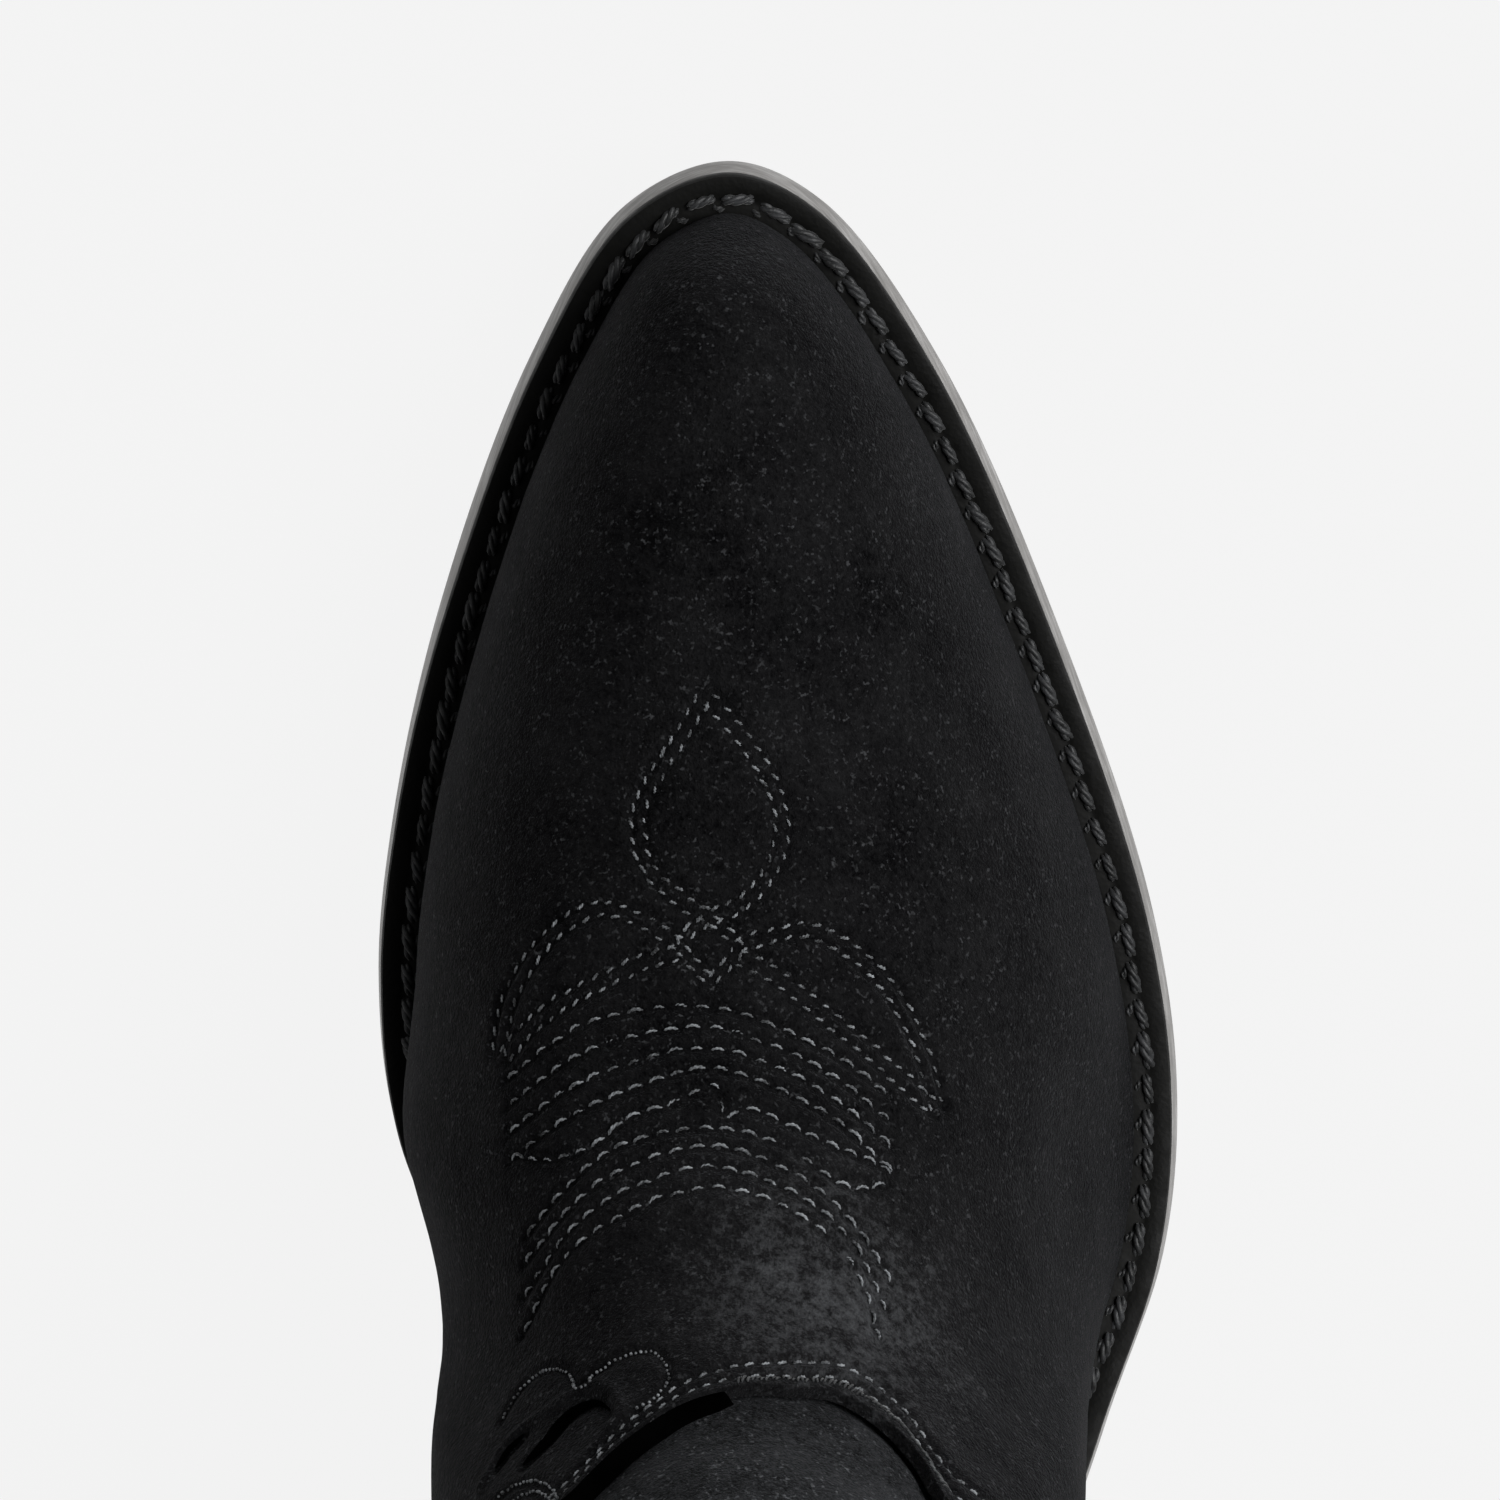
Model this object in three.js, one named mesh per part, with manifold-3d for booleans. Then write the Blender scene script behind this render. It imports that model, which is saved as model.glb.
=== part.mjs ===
// A right-foot western boot: welted leather sole, stacked heel and suede upper, each piece its own solid.
// Millimetres. +Z up, toe towards -Y, inner (medial) side towards +X, origin under the middle of its box.
// Inside the formulas a point is (x, t, z), where t runs forward from the back of the sole to the toe tip.
import * as THREE from "three";
import { mergeVertices } from "three/addons/utils/BufferGeometryUtils.js";
import Module from "manifold-3d";

const wasm = await Module();
wasm.setup();

// ---------- Driving dimensions ----------
const SOLE_LENGTH = 305; // European size 42
const SOLE_WIDTH = 104.9; // across the ball
const SHAFT_TOP = 328; // highest point of the shaft, at the side seams
const HEEL_SEAT = 38.5; // underside of the sole at the back
const TOE_SPRING = 13; // underside of the sole at the toe tip
const GAP = 0.3; // between pieces that touch
const LAYER_GAP = 0.8; // between the curved layers of the upper
const LAP_GAP = 0.95; // under the vamp and the counter, where the surface turns most
const PLAN_GAP = 0.6; // between curved edges that lie side by side in the sole
const EDGE_CLEARANCE = 2.5; // from the lining to the edge of the insole

// Sole
const OUTSOLE_THICK = 4.8;
const EDGE_FLARE = 1; // the foot of the outsole's edge stands this far outside its top
const WELT_THICK = 3;
const WELT_SHOWS = 5; // from the sole's edge to the upper
const WELT_SEAM = 3.1; // from the sole's edge to the welt thread
const WELT_INNER = 12; // from the sole's edge to the welt's inner edge
const THREAD_RADIUS = 0.6;
const INSOLE_THICK = 3;
const SOCK_THICK = 1.2;
const SHANK_WIDTH = 15;
const SHANK_LENGTH = 96;
const SHANK_THICK = 1.6;
const FILLER_LENGTH = 128;

// Heel
const HEEL_LENGTH = 68; // breast to back, at the seat
const HEEL_TAPER = 0.86; // bottom of the heel as a share of its seat
const CAP_THICK = 6;
const LIFT_THICK = 6;
const LIFT_COUNT = 5;
const NAIL_RADIUS = 1.3;
const NAIL_COUNT = 5;
const NAIL_ARC_WIDTH = 17; // half width of the arc the nails stand on
const NAIL_ARC_DEPTH = 12.75;
const NAIL_ARC_SHIFT = 8; // from the middle of the cap towards the toe
const PEG_RADIUS = 1.1;
const PEG_PITCH = 12;
const PEG_COUNT = 4;
const PEG_INSET = 6;
const PEG_SUNK = 0.7; // each end of a peg lies this far under the face of the sole
const PEG_CLEAR_OF_HEEL = 8;

// Upper
const LEATHER = 1.5;
const STIFFENER = 1.2;
const LINING = 1;
const LAP_LEVELS = 0.6; // how far the shaft is tucked under the vamp and the counter, in levels of the upper
const SKIVE = 0.7; // leather pared off the tucked edge
const ANKLE_HALF_WIDTH = 38;
const TOP_HALF_WIDTH = 50;
const SCALLOP = 30; // depth of the dips at the front and back of the shaft
const PIPING_RADIUS = 1.3;
const BINDING_THICK = 1.6;
const STRAP_WIDTH = 26;
const STRAP_THICK = 2.2;
const STRAP_TAIL = 46;
const STRAP_RISE = 17;
const BINDING_OVERHANG = 0.4; // past the shaft on the outside and past the lining on the inside

// Heights above the sole's underside
const WELT_BASE = OUTSOLE_THICK + GAP;
const WELT_TOP = WELT_BASE + WELT_THICK;
const UPPER_FOOT = WELT_TOP + LAYER_GAP;
const INSOLE_TOP = UPPER_FOOT + INSOLE_THICK;
const SOCK_BASE = INSOLE_TOP + GAP;

// Depths of the layers under the outer surface of the vamp
const SECOND_LAYER = LEATHER + LAP_GAP;
const LINING_LAYER = SECOND_LAYER + LEATHER + LAYER_GAP;
const UPPER_DEPTH = LINING_LAYER + LINING;
const INSOLE_INSET = EDGE_FLARE + WELT_SHOWS + UPPER_DEPTH + EDGE_CLEARANCE;

// ---------- Curves ----------
const lerp = THREE.MathUtils.lerp;
const clamp = THREE.MathUtils.clamp;
const smooth = (x, a, b) => THREE.MathUtils.smoothstep(x, a, b);

// A smooth curve y(x) through a few points.
function through(points) {
  const xs = points.map((p) => p[0]);
  const ys = points.map((p) => p[1]);
  const last = xs.length - 1;
  const chord = (i) => (ys[i + 1] - ys[i]) / (xs[i + 1] - xs[i]);
  const slopes = ys.map((_, i) => {
    if (i === 0) return chord(0);
    if (i === last) return chord(last - 1);
    const before = xs[i] - xs[i - 1];
    const after = xs[i + 1] - xs[i];
    return (chord(i - 1) * after + chord(i) * before) / (before + after);
  });
  return (x) => {
    const at = clamp(x, xs[0], xs[last]);
    let i = 0;
    while (i < last - 1 && at > xs[i + 1]) i++;
    const h = xs[i + 1] - xs[i];
    const u = (at - xs[i]) / h;
    const v = 1 - u;
    return (1 + 2 * u) * v * v * ys[i] + u * v * v * h * slopes[i]
      + u * u * (3 - 2 * u) * ys[i + 1] - u * u * v * h * slopes[i + 1];
  };
}

// Plan sizes below are drawn for a 305 x 104.9 sole and follow the driving dimensions.
const LONG = SOLE_LENGTH / 305;
const WIDE = SOLE_WIDTH / 104.9;
const stretched = (points, a, b) => points.map((p) => [p[0] * a, p[1] * b]);

// Underside of the sole: heel seat, waist, flat tread, then the toe spring.
const TREAD_BACK = 195 * LONG;
const TREAD_FRONT = 215 * LONG;
const waist = through(stretched(
  [[0, 1], [35, 0.952], [70, 0.884], [95, 0.72], [125, 0.4], [155, 0.135], [180, 0.02], [195, 0]],
  LONG, HEEL_SEAT,
));
function underside(t) {
  if (t < TREAD_BACK) return Math.max(0, waist(t));
  if (t <= TREAD_FRONT) return 0;
  return TOE_SPRING * ((t - TREAD_FRONT) / (SOLE_LENGTH - TREAD_FRONT)) ** 2;
}

// Outline of the sole, as (t, x), from the back of the heel along the inner side to the toe and back.
const OUTLINE = stretched([
  [0, 0], [3.5, 14], [14, 26.5], [40, 33.5], [75, 32.5], [115, 31], [150, 37.5], [176, 48], [196, 50.2],
  [217, 48.2], [245, 42], [279, 29.8], [299, 17.6], [305, 4.3], [300, -7.5], [279, -22.8], [240, -39.8],
  [205, -51.3], [181, -54.7], [160, -53], [138, -45.2], [115, -37.8], [75, -34.5], [40, -34], [14, -26.5],
  [3.5, -14],
], LONG, WIDE);
const OUTLINE_STEPS = 520;
const outline = new THREE.CatmullRomCurve3(
  OUTLINE.map(([t, x]) => new THREE.Vector3(t, x, 0)), true, "centripetal",
).getPoints(OUTLINE_STEPS).slice(0, OUTLINE_STEPS);

// The outline moved in by a distance, as its two ends in t and its inner and outer side as x(t).
function insetSides(distance) {
  const count = outline.length;
  const moved = outline.map((p, i) => {
    const along = outline[(i + 1) % count].clone().sub(outline[(i + count - 1) % count]).normalize();
    return [p.x + along.y * distance, p.y - along.x * distance];
  });
  const back = moved.reduce((best, p, i) => (p[0] < moved[best][0] ? i : best), 0);
  const ring = moved.slice(back).concat(moved.slice(0, back + 1));
  const front = ring.reduce((best, p, i) => (p[0] > ring[best][0] ? i : best), 0);
  const side = (points) => (t) => {
    const i = points.findIndex((p) => p[0] >= t);
    if (i < 0) return points[points.length - 1][1];
    if (i === 0) return points[0][1];
    const [a, b] = [points[i - 1], points[i]];
    return lerp(a[1], b[1], (t - a[0]) / Math.max(b[0] - a[0], 1e-6));
  };
  return {
    back: ring[0][0],
    front: ring[front][0],
    inner: side(ring.slice(0, front + 1)),
    outer: side(ring.slice(front).reverse()),
  };
}

// ---------- Outer surface of the upper ----------
// Each level is a ring round the boot: a front point, a back point and how far it has turned from the
// shape of the foot (0) to that of the shaft (1). The angle a is 0 at the front, positive on the inner side.
const feather = insetSides(EDGE_FLARE + WELT_SHOWS);
const DRAWN_FOOT = 8.4; // height of the feather line as drawn
const FOOT_FRONT = [[297, 30], [291, 40.5], [276, 48.5], [250, 56], [220, 66], [195, 79], [177, 95], [166, 112],
  [160, 135], [156, 165], [152, 205]];
const FOOT_BACK = [[4.6, 50.5], [3.6, 56], [3, 62], [3, 70], [4, 79], [6.5, 89], [10.5, 100], [15.5, 112],
  [22, 130], [28.5, 155], [31, 195]];
const SHAFT_LEVELS = [[150.5, 29, 240], [151, 23, 270], [152, 16, 298]];
const ANKLE_HEIGHT = 165; // the foot below it stays as it is when the shaft changes
const DRAWN_TOP = 298; // front of the top edge as drawn
const SHAFT_GROWTH = (SHAFT_TOP - SCALLOP - DRAWN_TOP) / (DRAWN_TOP - ANKLE_HEIGHT);
const tall = (z) => z + Math.max(0, z - ANKLE_HEIGHT) * SHAFT_GROWTH;
const TURN = [0, 0, 0, 0, 0.02, 0.1, 0.28, 0.52, 0.8, 0.96, 1];
const LEVELS = [
  [feather.front, underside(feather.front) + UPPER_FOOT, feather.back, underside(feather.back) + UPPER_FOOT, 0],
  ...FOOT_FRONT.map(([t, z], i) => {
    const lift = lerp(UPPER_FOOT - DRAWN_FOOT, 0, TURN[i]);
    const [back, backHeight] = FOOT_BACK[i];
    return [t * LONG, tall(z) + lift, back * LONG, tall(backHeight) + lift, TURN[i]];
  }),
  ...SHAFT_LEVELS.map(([front, back, z]) => [front * LONG, tall(z), back * LONG, tall(z), 1]),
];
const TOP_LEVEL = LEVELS.length - 1;
const level = (column) => through(LEVELS.map((row, i) => [i, row[column]]));
const frontT = level(0);
const frontZ = level(1);
const backT = level(2);
const backZ = level(3);
const turned = level(4);
const ANKLE_LEVEL = 9;
const THROAT_LEVEL = 8;

// Height of the ridge along the foot. Behind the shaft's front it climbs away, so that the walls stand upright.
const shaftFront = LEVELS[ANKLE_LEVEL + 1][0];
const RIDGE_STEPS = 200;
const ridge = through([
  [shaftFront - 45, 2200], [shaftFront - 22, 900], [shaftFront - 8, 360],
  ...Array.from({ length: RIDGE_STEPS + 1 }, (_, i) => {
    const s = (ANKLE_LEVEL + 1) * (1 - i / RIDGE_STEPS);
    return [frontT(s), frontZ(s)];
  }),
]);
const ridgeX = through(stretched(
  [[130, 0.3], [166, 2.3], [190, 6.5], [220, 7], [250, 6], [280, 5], [300, 4.8]], LONG, WIDE,
));
const bulge = through(stretched(
  [[0, 1.5], [20, 3], [50, 5], [80, 7.5], [115, 9.8], [140, 8], [160, 3.4], [180, 0.8], [205, 0.6], [305, 0.6]],
  LONG, WIDE,
));
const shaftHalf = through([[0, ANKLE_HALF_WIDTH], [ANKLE_LEVEL, ANKLE_HALF_WIDTH],
  [TOP_LEVEL - 2, lerp(ANKLE_HALF_WIDTH, TOP_HALF_WIDTH, 0.6)], [TOP_LEVEL, TOP_HALF_WIDTH]]);
const dome = through(stretched([[140, 1.3], [165, 1.4], [190, 1.75], [225, 2.1]], LONG, 1)); // round to square
const CENTRE_RISE = 18; // height over which the section's centre moves from the sole's to the ridge's
const BULGE_RISE = 14;

function surface(a, s) {
  const tau = (1 + Math.cos(a)) / 2;
  const k = clamp(turned(s), 0, 1);
  const t = lerp(backT(s), frontT(s), tau);
  const base = (at) => (underside(at) + UPPER_FOOT) * (1 - k);
  const rise = lerp(backZ(s) - base(backT(s)), frontZ(s) - base(frontT(s)), tau);
  const scallop = SCALLOP * smooth(s, TOP_LEVEL - 2, TOP_LEVEL) * Math.abs(Math.sin(a)) ** 1.25;
  const z = base(t) + rise + scallop;
  const plan = t - (backT(s) - feather.back) * (1 - tau) ** 2;
  const height = Math.max(0, z - underside(t) - UPPER_FOOT);
  const crest = Math.max(ridge(t) - underside(t) - UPPER_FOOT, 0.5);
  const share = s === 0 ? 0 : clamp(height / crest, 0, 1);
  const half = (feather.inner(plan) - feather.outer(plan)) / 2;
  const middle = (feather.inner(plan) + feather.outer(plan)) / 2;
  const ends = Math.min(1, 2 * Math.abs(Math.sin(a)));
  const swell = bulge(plan) * (1 - Math.exp(-height / BULGE_RISE)) * ends;
  const foot = (half + swell) * Math.sqrt(1 - share ** dome(t));
  const centre = lerp(middle, ridgeX(t), 1 - Math.exp(-height / CENTRE_RISE));
  const shaft = shaftHalf(s) * WIDE * Math.abs(Math.sin(a));
  const side = Math.sign(Math.sin(a));
  const x = lerp(centre, 0, k * smooth(s, THROAT_LEVEL, ANKLE_LEVEL + 1)) + side * lerp(foot, shaft, k);
  return new THREE.Vector3(x, t, z);
}

// A point at a depth under the outer surface; a negative depth lies outside it.
// At the sole and at the top edge the depth is measured level, so that every layer ends at the same height.
const ANGLE_STEP = 0.004;
const LEVEL_STEP = 0.04;
const LEVEL_ENDS = 0.8;
function under(a, s, depth) {
  const low = Math.max(0, s - LEVEL_STEP);
  const high = Math.min(TOP_LEVEL, s + LEVEL_STEP);
  const round = surface(a + ANGLE_STEP, s).sub(surface(a - ANGLE_STEP, s));
  const up = surface(a, high).sub(surface(a, low));
  const outward = up.cross(round).normalize();
  const level = new THREE.Vector3(-round.y, round.x, 0).normalize();
  const ends = Math.min(smooth(s, 0, LEVEL_ENDS), 1 - smooth(s, TOP_LEVEL - LEVEL_ENDS, TOP_LEVEL));
  return surface(a, s).addScaledVector(level.lerp(outward, ends).normalize(), -depth);
}

// The side seams run up the waist and on up the middle of the shaft.
function seamAngle(s) {
  const foot = lerp(118 * LONG, 94 * LONG, clamp(s / ANKLE_LEVEL, 0, 1));
  const t = lerp(foot, (frontT(s) + backT(s)) / 2, smooth(s, THROAT_LEVEL, ANKLE_LEVEL + 1));
  return Math.acos(clamp(2 * (t - backT(s)) / (frontT(s) - backT(s)) - 1, -1, 1));
}

// ---------- Solids ----------
const toWorld = (p) => new THREE.Vector3(p.x, -p.y, p.z);

// A closed solid between two grids of points that face each other. With wrap, the last column meets the first.
function solidBetween(outer, inner, columns, rows, wrap = false) {
  const points = [];
  const faces = [];
  const width = wrap ? columns : columns + 1;
  for (const grid of [outer, inner])
    for (let j = 0; j <= rows; j++)
      for (let i = 0; i < width; i++) points.push(toWorld(grid(i / columns, j / rows)));
  const at = (side, i, j) => side * width * (rows + 1) + j * width + (wrap ? i % width : i);
  const quad = (a, b, c, d) => faces.push([a, b, c], [a, c, d]);
  for (let j = 0; j < rows; j++)
    for (let i = 0; i < columns; i++) {
      quad(at(0, i, j), at(0, i + 1, j), at(0, i + 1, j + 1), at(0, i, j + 1));
      quad(at(1, i, j), at(1, i, j + 1), at(1, i + 1, j + 1), at(1, i + 1, j));
    }
  for (let i = 0; i < columns; i++) {
    quad(at(0, i, 0), at(1, i, 0), at(1, i + 1, 0), at(0, i + 1, 0));
    quad(at(0, i, rows), at(0, i + 1, rows), at(1, i + 1, rows), at(1, i, rows));
  }
  for (let j = 0; j < rows && !wrap; j++) {
    quad(at(0, 0, j), at(0, 0, j + 1), at(1, 0, j + 1), at(1, 0, j));
    quad(at(0, columns, j), at(1, columns, j), at(1, columns, j + 1), at(0, columns, j + 1));
  }
  return closedGeometry(points, faces);
}

// Joins equal points, drops faces that have collapsed, and turns the solid outside out.
function closedGeometry(points, faces) {
  const flat = new THREE.BufferGeometry().setFromPoints(points).setIndex(faces.flat());
  const merged = mergeVertices(flat, 1e-3);
  const index = merged.index.array;
  const kept = [];
  for (let i = 0; i < index.length; i += 3) {
    const [a, b, c] = index.slice(i, i + 3);
    if (a !== b && b !== c && c !== a) kept.push(a, b, c);
  }
  merged.setIndex(kept);
  if (signedVolume(merged) < 0) {
    for (let i = 0; i < kept.length; i += 3) [kept[i + 1], kept[i + 2]] = [kept[i + 2], kept[i + 1]];
    merged.setIndex(kept);
  }
  return merged;
}

function signedVolume(geometry) {
  const position = geometry.attributes.position;
  const index = geometry.index.array;
  const corner = (i) => new THREE.Vector3().fromBufferAttribute(position, index[i]);
  let sum = 0;
  for (let i = 0; i < index.length; i += 3) sum += corner(i).dot(corner(i + 1).cross(corner(i + 2)));
  return sum;
}

// A slab of the sole between two heights above its underside, forward of a place along t. It has a station at
// each end of the flat tread.
function slab({ inset = 0, flare = 0, low, high, from = -Infinity, stations = 44 }) {
  const upper = insetSides(inset);
  const lower = insetSides(inset - flare);
  const first = Math.max(upper.back, from);
  const length = upper.front - first;
  const shares = Array.from({ length: stations }, (_, i) => (1 - Math.cos(Math.PI * i / (stations - 1))) / 2);
  shares.push((TREAD_BACK - first) / length, (TREAD_FRONT - first) / length);
  shares.sort((a, b) => a - b);
  const rows = shares.length - 1;
  const sheet = (sides, height) => (u, v) => {
    const back = Math.max(sides.back, from);
    const t = lerp(back, sides.front, shares[Math.round(v * rows)]);
    return new THREE.Vector3(lerp(sides.outer(t), sides.inner(t), u), t, underside(t) + height);
  };
  return solidBetween(sheet(upper, high), sheet(lower, low), 2, rows);
}

// A strip that follows the sole's edge. It goes round the toe, or with heel set, round the heel.
function edgeStrip({ outerInset, innerInset, low, high, breast, heel = false, columns = 64 }) {
  const outside = insetSides(outerInset);
  const inside = insetSides(innerInset);
  const place = (sides, u) => {
    const end = heel ? sides.back : sides.front;
    const turn = Math.PI * (u - 0.5);
    const t = lerp(breast, end, Math.cos(turn));
    return [t, turn > 0 ? sides.inner(t) : sides.outer(t)];
  };
  const sheet = (height) => (u, v) => {
    const [t0, x0] = place(outside, u);
    const [t1, x1] = place(inside, u);
    const t = lerp(t0, t1, v);
    return new THREE.Vector3(lerp(x0, x1, v), t, underside(t) + height);
  };
  return solidBetween(sheet(high), sheet(low), columns, 1);
}

// Every layer of the upper shares these levels, so that the faces of two layers lie side by side.
const GRID = [];
for (let s = 0; s < ANKLE_LEVEL; s += 0.5) GRID.push(s);
for (let s = ANKLE_LEVEL; s <= TOP_LEVEL; s++) GRID.push(s);

// A panel of the upper between a bottom and a top level, which may change along it. Its outer face is pared
// away by a skive that runs out over half a level from where the panel comes into the open.
function panel({ angle, bottom, top, depth, thick, columns, skive = 0 }) {
  const shares = Array.from({ length: columns + 1 }, (_, i) => i / columns);
  const lowest = Math.min(...shares.map(bottom));
  const highest = Math.max(...shares.map(top));
  const levels = [lowest, ...GRID.filter((s) => s > lowest && s < highest), highest];
  const rows = levels.length - 1;
  const sheet = (depthAt) => (u, v) => {
    const s = clamp(levels[Math.round(v * rows)], bottom(u), top(u));
    return under(angle(u, s), s, depthAt(s - bottom(u)));
  };
  const outerDepth = (rise) => depth + skive * (1 - smooth(rise, LAP_LEVELS, LAP_LEVELS + 0.5));
  return solidBetween(sheet(outerDepth), sheet(() => depth + thick), columns, rows);
}

const SEAM_GAP = 0.004; // radians left open at each side seam
const frontAngle = (u, s) => lerp(-1, 1, u) * (seamAngle(s) - SEAM_GAP);
const backAngle = (u, s) => Math.PI + lerp(-1, 1, u) * (Math.PI - seamAngle(s) - SEAM_GAP);

function rod(radius, path, steps) {
  const section = new THREE.Shape().absarc(0, 0, radius, 0, 2 * Math.PI);
  const settings = { extrudePath: path, steps, curveSegments: 4, bevelEnabled: false };
  return bare(new THREE.ExtrudeGeometry(section, settings));
}

function bare(geometry) {
  geometry.deleteAttribute("normal");
  geometry.deleteAttribute("uv");
  return mergeVertices(geometry, 1e-3);
}

function solidOf(geometry) {
  return new wasm.Manifold(new wasm.Mesh({
    numProp: 3,
    vertProperties: geometry.attributes.position.array,
    triVerts: new Uint32Array(geometry.index.array),
  }));
}

const DRILL_PAST = 5; // a hole's cutter runs this far past the piece
function drilled(geometry, cutters) {
  const cut = cutters.reduce((solid, cutter) => solid.subtract(solidOf(cutter)), solidOf(geometry));
  const mesh = cut.getMesh();
  const result = new THREE.BufferGeometry();
  result.setAttribute("position", new THREE.BufferAttribute(new Float32Array(mesh.vertProperties), 3));
  return result.setIndex(new THREE.BufferAttribute(mesh.triVerts, 1));
}

function pin(radius, x, t, low, high) {
  const cylinder = new THREE.CylinderGeometry(radius, radius, high - low, 16);
  cylinder.rotateX(Math.PI / 2);
  cylinder.translate(x, -t, (low + high) / 2);
  return bare(cylinder);
}

// ---------- Materials ----------
const finish = (color, roughness, metalness = 0) => new THREE.MeshStandardMaterial({ color, roughness, metalness });
const SUEDE = finish(0x1a1b1b, 0.95);
const SHAFT_SUEDE = finish(0x222323, 0.95);
const WELT_LEATHER = finish(0x121211, 0.6);
const SOLE_LEATHER = finish(0x6f6a64, 0.5);
const STACKED_LEATHER = finish(0x2a2420, 0.5);
const LINING_LEATHER = finish(0x8a6a48, 0.75);
const BOARD = finish(0xa98558, 0.85);
const THREAD = finish(0x3c3d3f, 0.8);
const CORK = finish(0x9a7448, 0.95);
const RUBBER = finish(0x141414, 0.8);
const STEEL = finish(0x9a9c9e, 0.35, 1);
const BRASS = finish(0xb08a45, 0.4, 1);
const WOOD = finish(0xc9ab74, 0.8);

const boot = new THREE.Group();
function add(name, geometry, material) {
  const mesh = new THREE.Mesh(geometry, material);
  mesh.name = name;
  boot.add(mesh);
}

// ---------- Sole ----------
const pegPlaces = [];
const PEG_BACK = HEEL_LENGTH + PEG_CLEAR_OF_HEEL;
const pegSides = insetSides(PEG_INSET);
for (let i = 0; i < PEG_COUNT; i++) {
  const t = PEG_BACK + PEG_PITCH * i;
  pegPlaces.push([pegSides.inner(t), t], [pegSides.outer(t), t]);
}
const outsoleBlank = slab({ inset: EDGE_FLARE, flare: EDGE_FLARE, low: 0, high: OUTSOLE_THICK });
const pegHoles = pegPlaces.map(([x, t]) => pin(
  PEG_RADIUS + GAP, x, t, underside(t) - DRILL_PAST, underside(t) + OUTSOLE_THICK + DRILL_PAST,
));
add("outsole", drilled(outsoleBlank, pegHoles), SOLE_LEATHER);
pegPlaces.forEach(([x, t], i) => {
  const peg = pin(PEG_RADIUS, x, t, underside(t) + PEG_SUNK, underside(t) + OUTSOLE_THICK - PEG_SUNK);
  add(`waist_peg_${i + 1}`, peg, WOOD);
});

const BREAST = HEEL_LENGTH;
add("welt", edgeStrip({
  outerInset: EDGE_FLARE, innerInset: WELT_INNER, low: WELT_BASE, high: WELT_TOP, breast: BREAST + GAP,
}), WELT_LEATHER);
add("heel_rand", edgeStrip({
  outerInset: EDGE_FLARE, innerInset: WELT_INNER, low: WELT_BASE, high: WELT_TOP, breast: BREAST,
  heel: true, columns: 32,
}), WELT_LEATHER);

const FILLER_FRONT = insetSides(WELT_INNER + PLAN_GAP).front;
add("cork_filler", slab({
  inset: WELT_INNER + PLAN_GAP, low: WELT_BASE, high: WELT_TOP, from: FILLER_FRONT - FILLER_LENGTH, stations: 24,
}), CORK);

const shankBack = FILLER_FRONT - FILLER_LENGTH - GAP - SHANK_LENGTH;
const shankPoint = (lift) => (u, v) => {
  const t = shankBack + SHANK_LENGTH * v;
  return new THREE.Vector3(lerp(-0.5, 0.5, u) * SHANK_WIDTH, t, underside(t) + WELT_BASE + lift);
};
add("shank", solidBetween(shankPoint(SHANK_THICK), shankPoint(0), 2, 20), STEEL);
add("insole", slab({ inset: INSOLE_INSET, low: UPPER_FOOT, high: INSOLE_TOP, stations: 34 }), BOARD);
add("sock_liner", slab({
  inset: INSOLE_INSET + GAP, low: SOCK_BASE, high: SOCK_BASE + SOCK_THICK, stations: 34,
}), LINING_LEATHER);

const threadSides = insetSides(EDGE_FLARE + WELT_SEAM);
const THREAD_SHARE = 0.9; // of the way round from breast to breast
const threadPath = new THREE.CatmullRomCurve3(Array.from({ length: 61 }, (_, i) => {
  const turn = Math.PI * (i / 60 - 0.5) * THREAD_SHARE;
  const t = lerp(BREAST, threadSides.front, Math.cos(turn));
  const x = turn > 0 ? threadSides.inner(t) : threadSides.outer(t);
  return toWorld(new THREE.Vector3(x, t, underside(t) + WELT_TOP + GAP + THREAD_RADIUS));
}));
add("welt_thread", rod(THREAD_RADIUS, threadPath, 72), THREAD);

// ---------- Heel ----------
// The heel narrows downwards towards its breast, so its back leans forward.
const heelScale = (z) => lerp(HEEL_TAPER, 1, z / HEEL_SEAT);
const HEEL_INSET = 0.8; // from the sole's edge
const seat = insetSides(HEEL_INSET);
function heelPiece(low, high) {
  const sheet = (height) => (u, v) => {
    const seatT = lerp(BREAST, seat.back, Math.sin((Math.PI / 2) * v));
    const z = height(seatT);
    const k = heelScale(z);
    const t = BREAST - (BREAST - seatT) * k;
    const x = lerp(seat.outer(seatT), seat.inner(seatT), u) * k;
    return new THREE.Vector3(x, t, z);
  };
  return solidBetween(sheet(high), sheet(low), 2, 18);
}
const capMiddle = BREAST - HEEL_LENGTH * HEEL_TAPER / 2;
const nailPlaces = Array.from({ length: NAIL_COUNT }, (_, i) => {
  const turn = Math.PI * (i / (NAIL_COUNT - 1) - 0.5);
  const x = NAIL_ARC_WIDTH * Math.sin(turn);
  return [x, capMiddle + NAIL_ARC_SHIFT - NAIL_ARC_DEPTH * Math.cos(turn)];
});
const nailHoles = nailPlaces.map(([x, t]) => pin(
  NAIL_RADIUS + GAP, x, t, -DRILL_PAST, CAP_THICK + LIFT_THICK + DRILL_PAST,
));
add("heel_cap", drilled(heelPiece(() => 0, () => CAP_THICK), nailHoles), RUBBER);
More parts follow.
